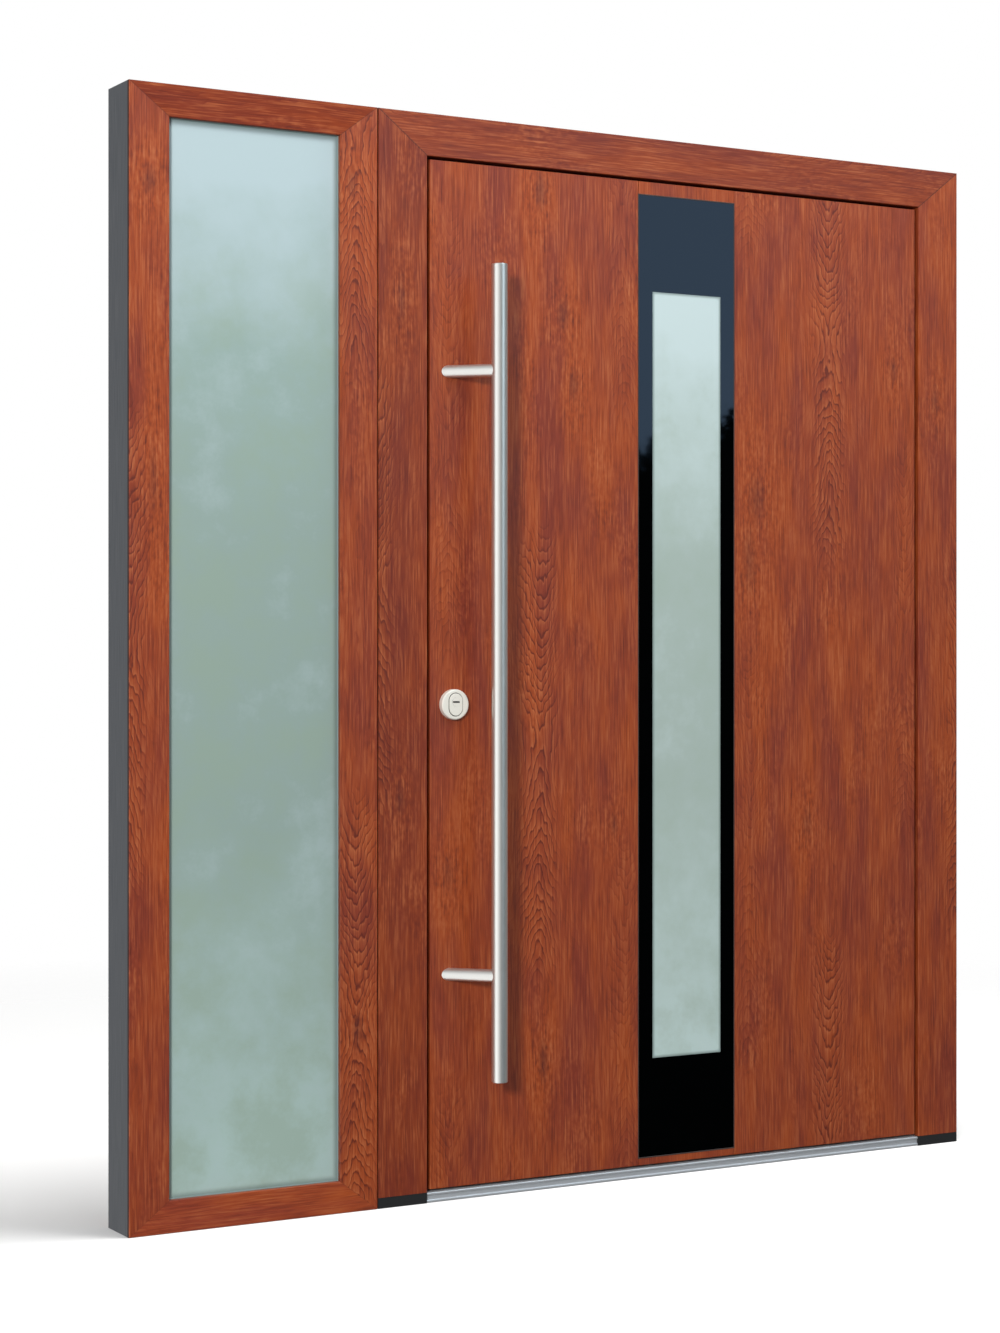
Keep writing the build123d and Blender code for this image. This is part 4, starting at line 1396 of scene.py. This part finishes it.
@dataclass
class Studio:
    """Camera, lamps, white surroundings and a pale floor."""

    camera_place: tuple[float, float, float] = (-2.8185, -4.638, 1.080)
    camera_turn_deg: float = -29.85
    lens_mm: float = 71.97
    shift_y: float = -0.012
    bright_side_deg: float = -100.0
    brightness: tuple[float, float, float] = (0.26, 0.72, 0.65)
    mirrored_deg: float = 30.0
    mirrored_edge_deg: tuple[float, float] = (10.0, 22.0)
    mirrored_sky: str = "#dcf2ff"
    trees_bearing_deg: float = 33.85
    trees_height: float = 0.0485
    trees_slope: float = 0.46
    crown_scale: float = 45.0
    crown_fringe: float = 0.03
    foliage_scale: float = 420.0
    foliage_fringe: float = 0.035
    floor_radius: float = 7.0
    floor_rings: int = 24
    floor_sides: int = 96
    floor_drop: float = 0.5 * MM
    floor_fade: tuple[float, float] = (0.2, 0.6)
    floor_lift: float = 0.35
    floor_paint: str = "#f6f6f5"
    floor_bounce: str = "#6e6e6d"
    lamps: tuple[Lamp, ...] = (
        Lamp("key", -45, 12, 8.0, (1.1, 1.1), 455, FloorLight.NONE),
        Lamp("top", 10, 58, 3.6, (3.0, 1.0), 62),
        Lamp("right", 75, 25, 5.0, (1.2, 1.2), 70),
        Lamp("back_fill", 165, 35, 5.0, (3.0, 3.0), 150, FloorLight.NONE),
        Lamp("floor_wash", 20, 82, 4.5, (1.3, 1.3), 330, FloorLight.ONLY),
    )

    def camera(self) -> None:
        """Stand the camera where the photograph was taken from."""
        data = bpy.data.cameras.new("camera")
        data.lens = self.lens_mm
        data.shift_y = self.shift_y
        camera = bpy.data.objects.new("camera", data)
        camera.location = self.camera_place
        camera.rotation_euler = (math.pi / 2, 0.0, math.radians(self.camera_turn_deg))
        bpy.context.scene.collection.objects.link(camera)
        bpy.context.scene.camera = camera

    def hang(self, lamp: Lamp, floor: Object) -> None:
        """Hang a lamp and choose what it does to the floor.

        Args:
            lamp: The lamp.
            floor: The floor, which some lamps leave out and one lights alone.
        """
        data = bpy.data.lights.new(lamp.name, "AREA")
        data.shape = "RECTANGLE"
        data.size, data.size_y = lamp.size
        data.energy = lamp.watts
        hung = bpy.data.objects.new(lamp.name, data)
        turn, rise = math.radians(lamp.azimuth), math.radians(lamp.elevation)
        towards = Vector((math.sin(turn) * math.cos(rise), -math.cos(turn) * math.cos(rise), math.sin(rise)))
        hung.location = (cad_box[0] + cad_box[1]) / 2 + towards * lamp.away
        hung.rotation_euler = towards.to_track_quat("Z", "Y").to_euler()
        hung.visible_camera = False
        hung.visible_glossy = False
        bpy.context.scene.collection.objects.link(hung)
        if lamp.floor_light:
            group = bpy.data.collections.new(f"{lamp.name}_on_floor")
            group.objects.link(floor)
            group.collection_objects[0].light_linking.link_state = lamp.floor_light.value
            hung.light_linking.receiver_collection = group

    def mirrored(self, tree: NodeTree, direction: NodeSocket, turn: Node, height: NodeSocket) -> Node:
        """The cool sky over a ragged dark line of trees that the glass strip mirrors towards the camera.

        Args:
            tree: The world's node tree.
            direction: The direction looked in.
            turn: Its azimuth.
            height: Its upright part.

        Returns:
            The colour seen there.
        """
        add = partial(add_node, tree)
        zenith = add("MapRange", height, 0.17, 0.5, 1.0, 3.0)
        crowns = add("TexNoise", direction, self.crown_scale, 2.0, 0.5)
        foliage = add("TexNoise", direction, self.foliage_scale, 3.0, 0.65)
        foot = self.trees_height - self.trees_slope * math.radians(self.trees_bearing_deg)
        slope = add("Math.MULTIPLY_ADD", turn, self.trees_slope, foot)
        fringe = add("Math.MULTIPLY_ADD", foliage, self.foliage_fringe, slope)
        ragged = add("Math.MULTIPLY_ADD", crowns, self.crown_fringe, fringe)
        over = add("Math.SUBTRACT", height, ragged)
        open_sky = add("MapRange", over, 0.0, 0.0015, 0.004, 1.3)
        bright = add("Math.MULTIPLY", open_sky, zenith)
        return add("VectorMath.SCALE", linear(self.mirrored_sky)[:3], Scale=bright)

    def world(self) -> None:
        """White to the camera and through glass, soft to matt surfaces, and shaded in azimuth to polished ones.

        What a polished surface sees is bright on the left and dim on the right, but for the sector that the
        glass strip mirrors.
        """
        world = bpy.data.worlds.new("studio")
        world.use_nodes = True
        bpy.context.scene.world = world
        tree = world.node_tree
        add = partial(add_node, tree)
        path = add("LightPath").outputs
        direction = add("TexCoord").outputs["Generated"]
        axes = add("SeparateXYZ", direction)
        height = axes.outputs["Z"]
        outward = add("Math.MULTIPLY", axes.outputs["Y"], -1.0)
        turn = add("Math.ARCTAN2", axes.outputs["X"], outward)
        swing = add("Math.COSINE", add("Math.SUBTRACT", turn, math.radians(self.bright_side_deg)))
        level, tilt, curl = self.brightness
        steep = add("Math.MULTIPLY_ADD", swing, curl, tilt)
        around = add("Math.MULTIPLY_ADD", swing, steep, level)
        upwards = add("MapRange", height, 0.25, 0.8, 1.0, 0.4)
        studio = add("Math.MULTIPLY", around, upwards)
        aside = add("Math.ABSOLUTE", add("Math.SUBTRACT", turn, math.radians(self.mirrored_deg)))
        near, far = (math.radians(edge) for edge in self.mirrored_edge_deg)
        sector = add("MapRange", aside, near, far, 1.0, 0.0)
        seen = add("Mix", sector, studio, self.mirrored(tree, direction, turn, height))
        soft = add("MapRange", height, -0.6, 0.8, 0.15, 0.28)
        lit = add("Mix", path["Is Glossy Ray"], soft, seen)
        clear = add("Math.MAXIMUM", path["Is Camera Ray"], path["Is Transmission Ray"])
        colour = add("Mix", clear, lit, linear("#ffffff"))
        feed(tree, tree.nodes["Background"], Color=colour, Strength=1.0)

    def floor_material(self) -> Material:
        """Matt paint, lifted for the camera and darker for bounced light, that fades into the white.

        Returns:
            The material.
        """
        material, tree, shader = new_material("pale_floor")
        tree.nodes.remove(shader)
        add = partial(add_node, tree)
        seen = add("LightPath").outputs["Is Camera Ray"]
        distance = add("VectorMath.LENGTH", add("TexCoord").outputs["Object"]).outputs["Value"]
        near, far = (share * self.floor_radius for share in self.floor_fade)
        fade = add("MapRange", distance, near, far, 0.0, 1.0)
        paint = add("Mix", seen, linear(self.floor_bounce), linear(self.floor_paint))
        white = add("Emission", linear("#ffffff"), 1.0)
        lifted = add("Math.MULTIPLY", seen, self.floor_lift)
        pale = add("MixShader", lifted, add("BsdfDiffuse", paint), white)
        faded = add("MixShader", fade, pale, add("BsdfTransparent"))
        feed(tree, tree.nodes["Material Output"], Surface=faded)
        return material

    def floor(self) -> Object:
        """Lay a round floor, radius times the cosine and sine of the angle, just under the door.

        Returns:
            The floor.
        """
        radius = np.linspace(0.0, 1.0, self.floor_rings + 1)[1:, None] * self.floor_radius
        angle = np.linspace(0.0, 2 * math.pi, self.floor_sides, endpoint=False)[None, :]
        level = np.full((radius.size, angle.size), cad_box[0].z - self.floor_drop)
        points = np.stack([radius * np.cos(angle), radius * np.sin(angle), level], -1)
        outer = grid_faces(radius.size, angle.size, False, True)[:, ::-1].tolist()
        mesh = bpy.data.meshes.new("floor")
        mesh.from_pydata(points.reshape(-1, 3).tolist(), [], [*outer, list(range(angle.size))])
        mesh.materials.append(self.floor_material())
        floor = bpy.data.objects.new("floor", mesh)
        floor.visible_glossy = False
        bpy.context.scene.collection.objects.link(floor)
        return floor

    def build(self) -> None:
        """Set up the whole studio."""
        bpy.context.scene.view_settings.view_transform = "Standard"
        self.camera()
        self.world()
        floor = self.floor()
        for lamp in self.lamps:
            self.hang(lamp, floor)


def main() -> None:
    """Build the door's looks in order."""
    logging.basicConfig(level=logging.INFO, format="%(name)s: %(message)s")
    Studio().build()
    for assembly in (Sidelight(), DoorFrame(), Threshold(), Leaf(), Fittings()):
        assembly.build()
        log.info("%s done", type(assembly).__name__)


if __name__ == "__main__":
    main()
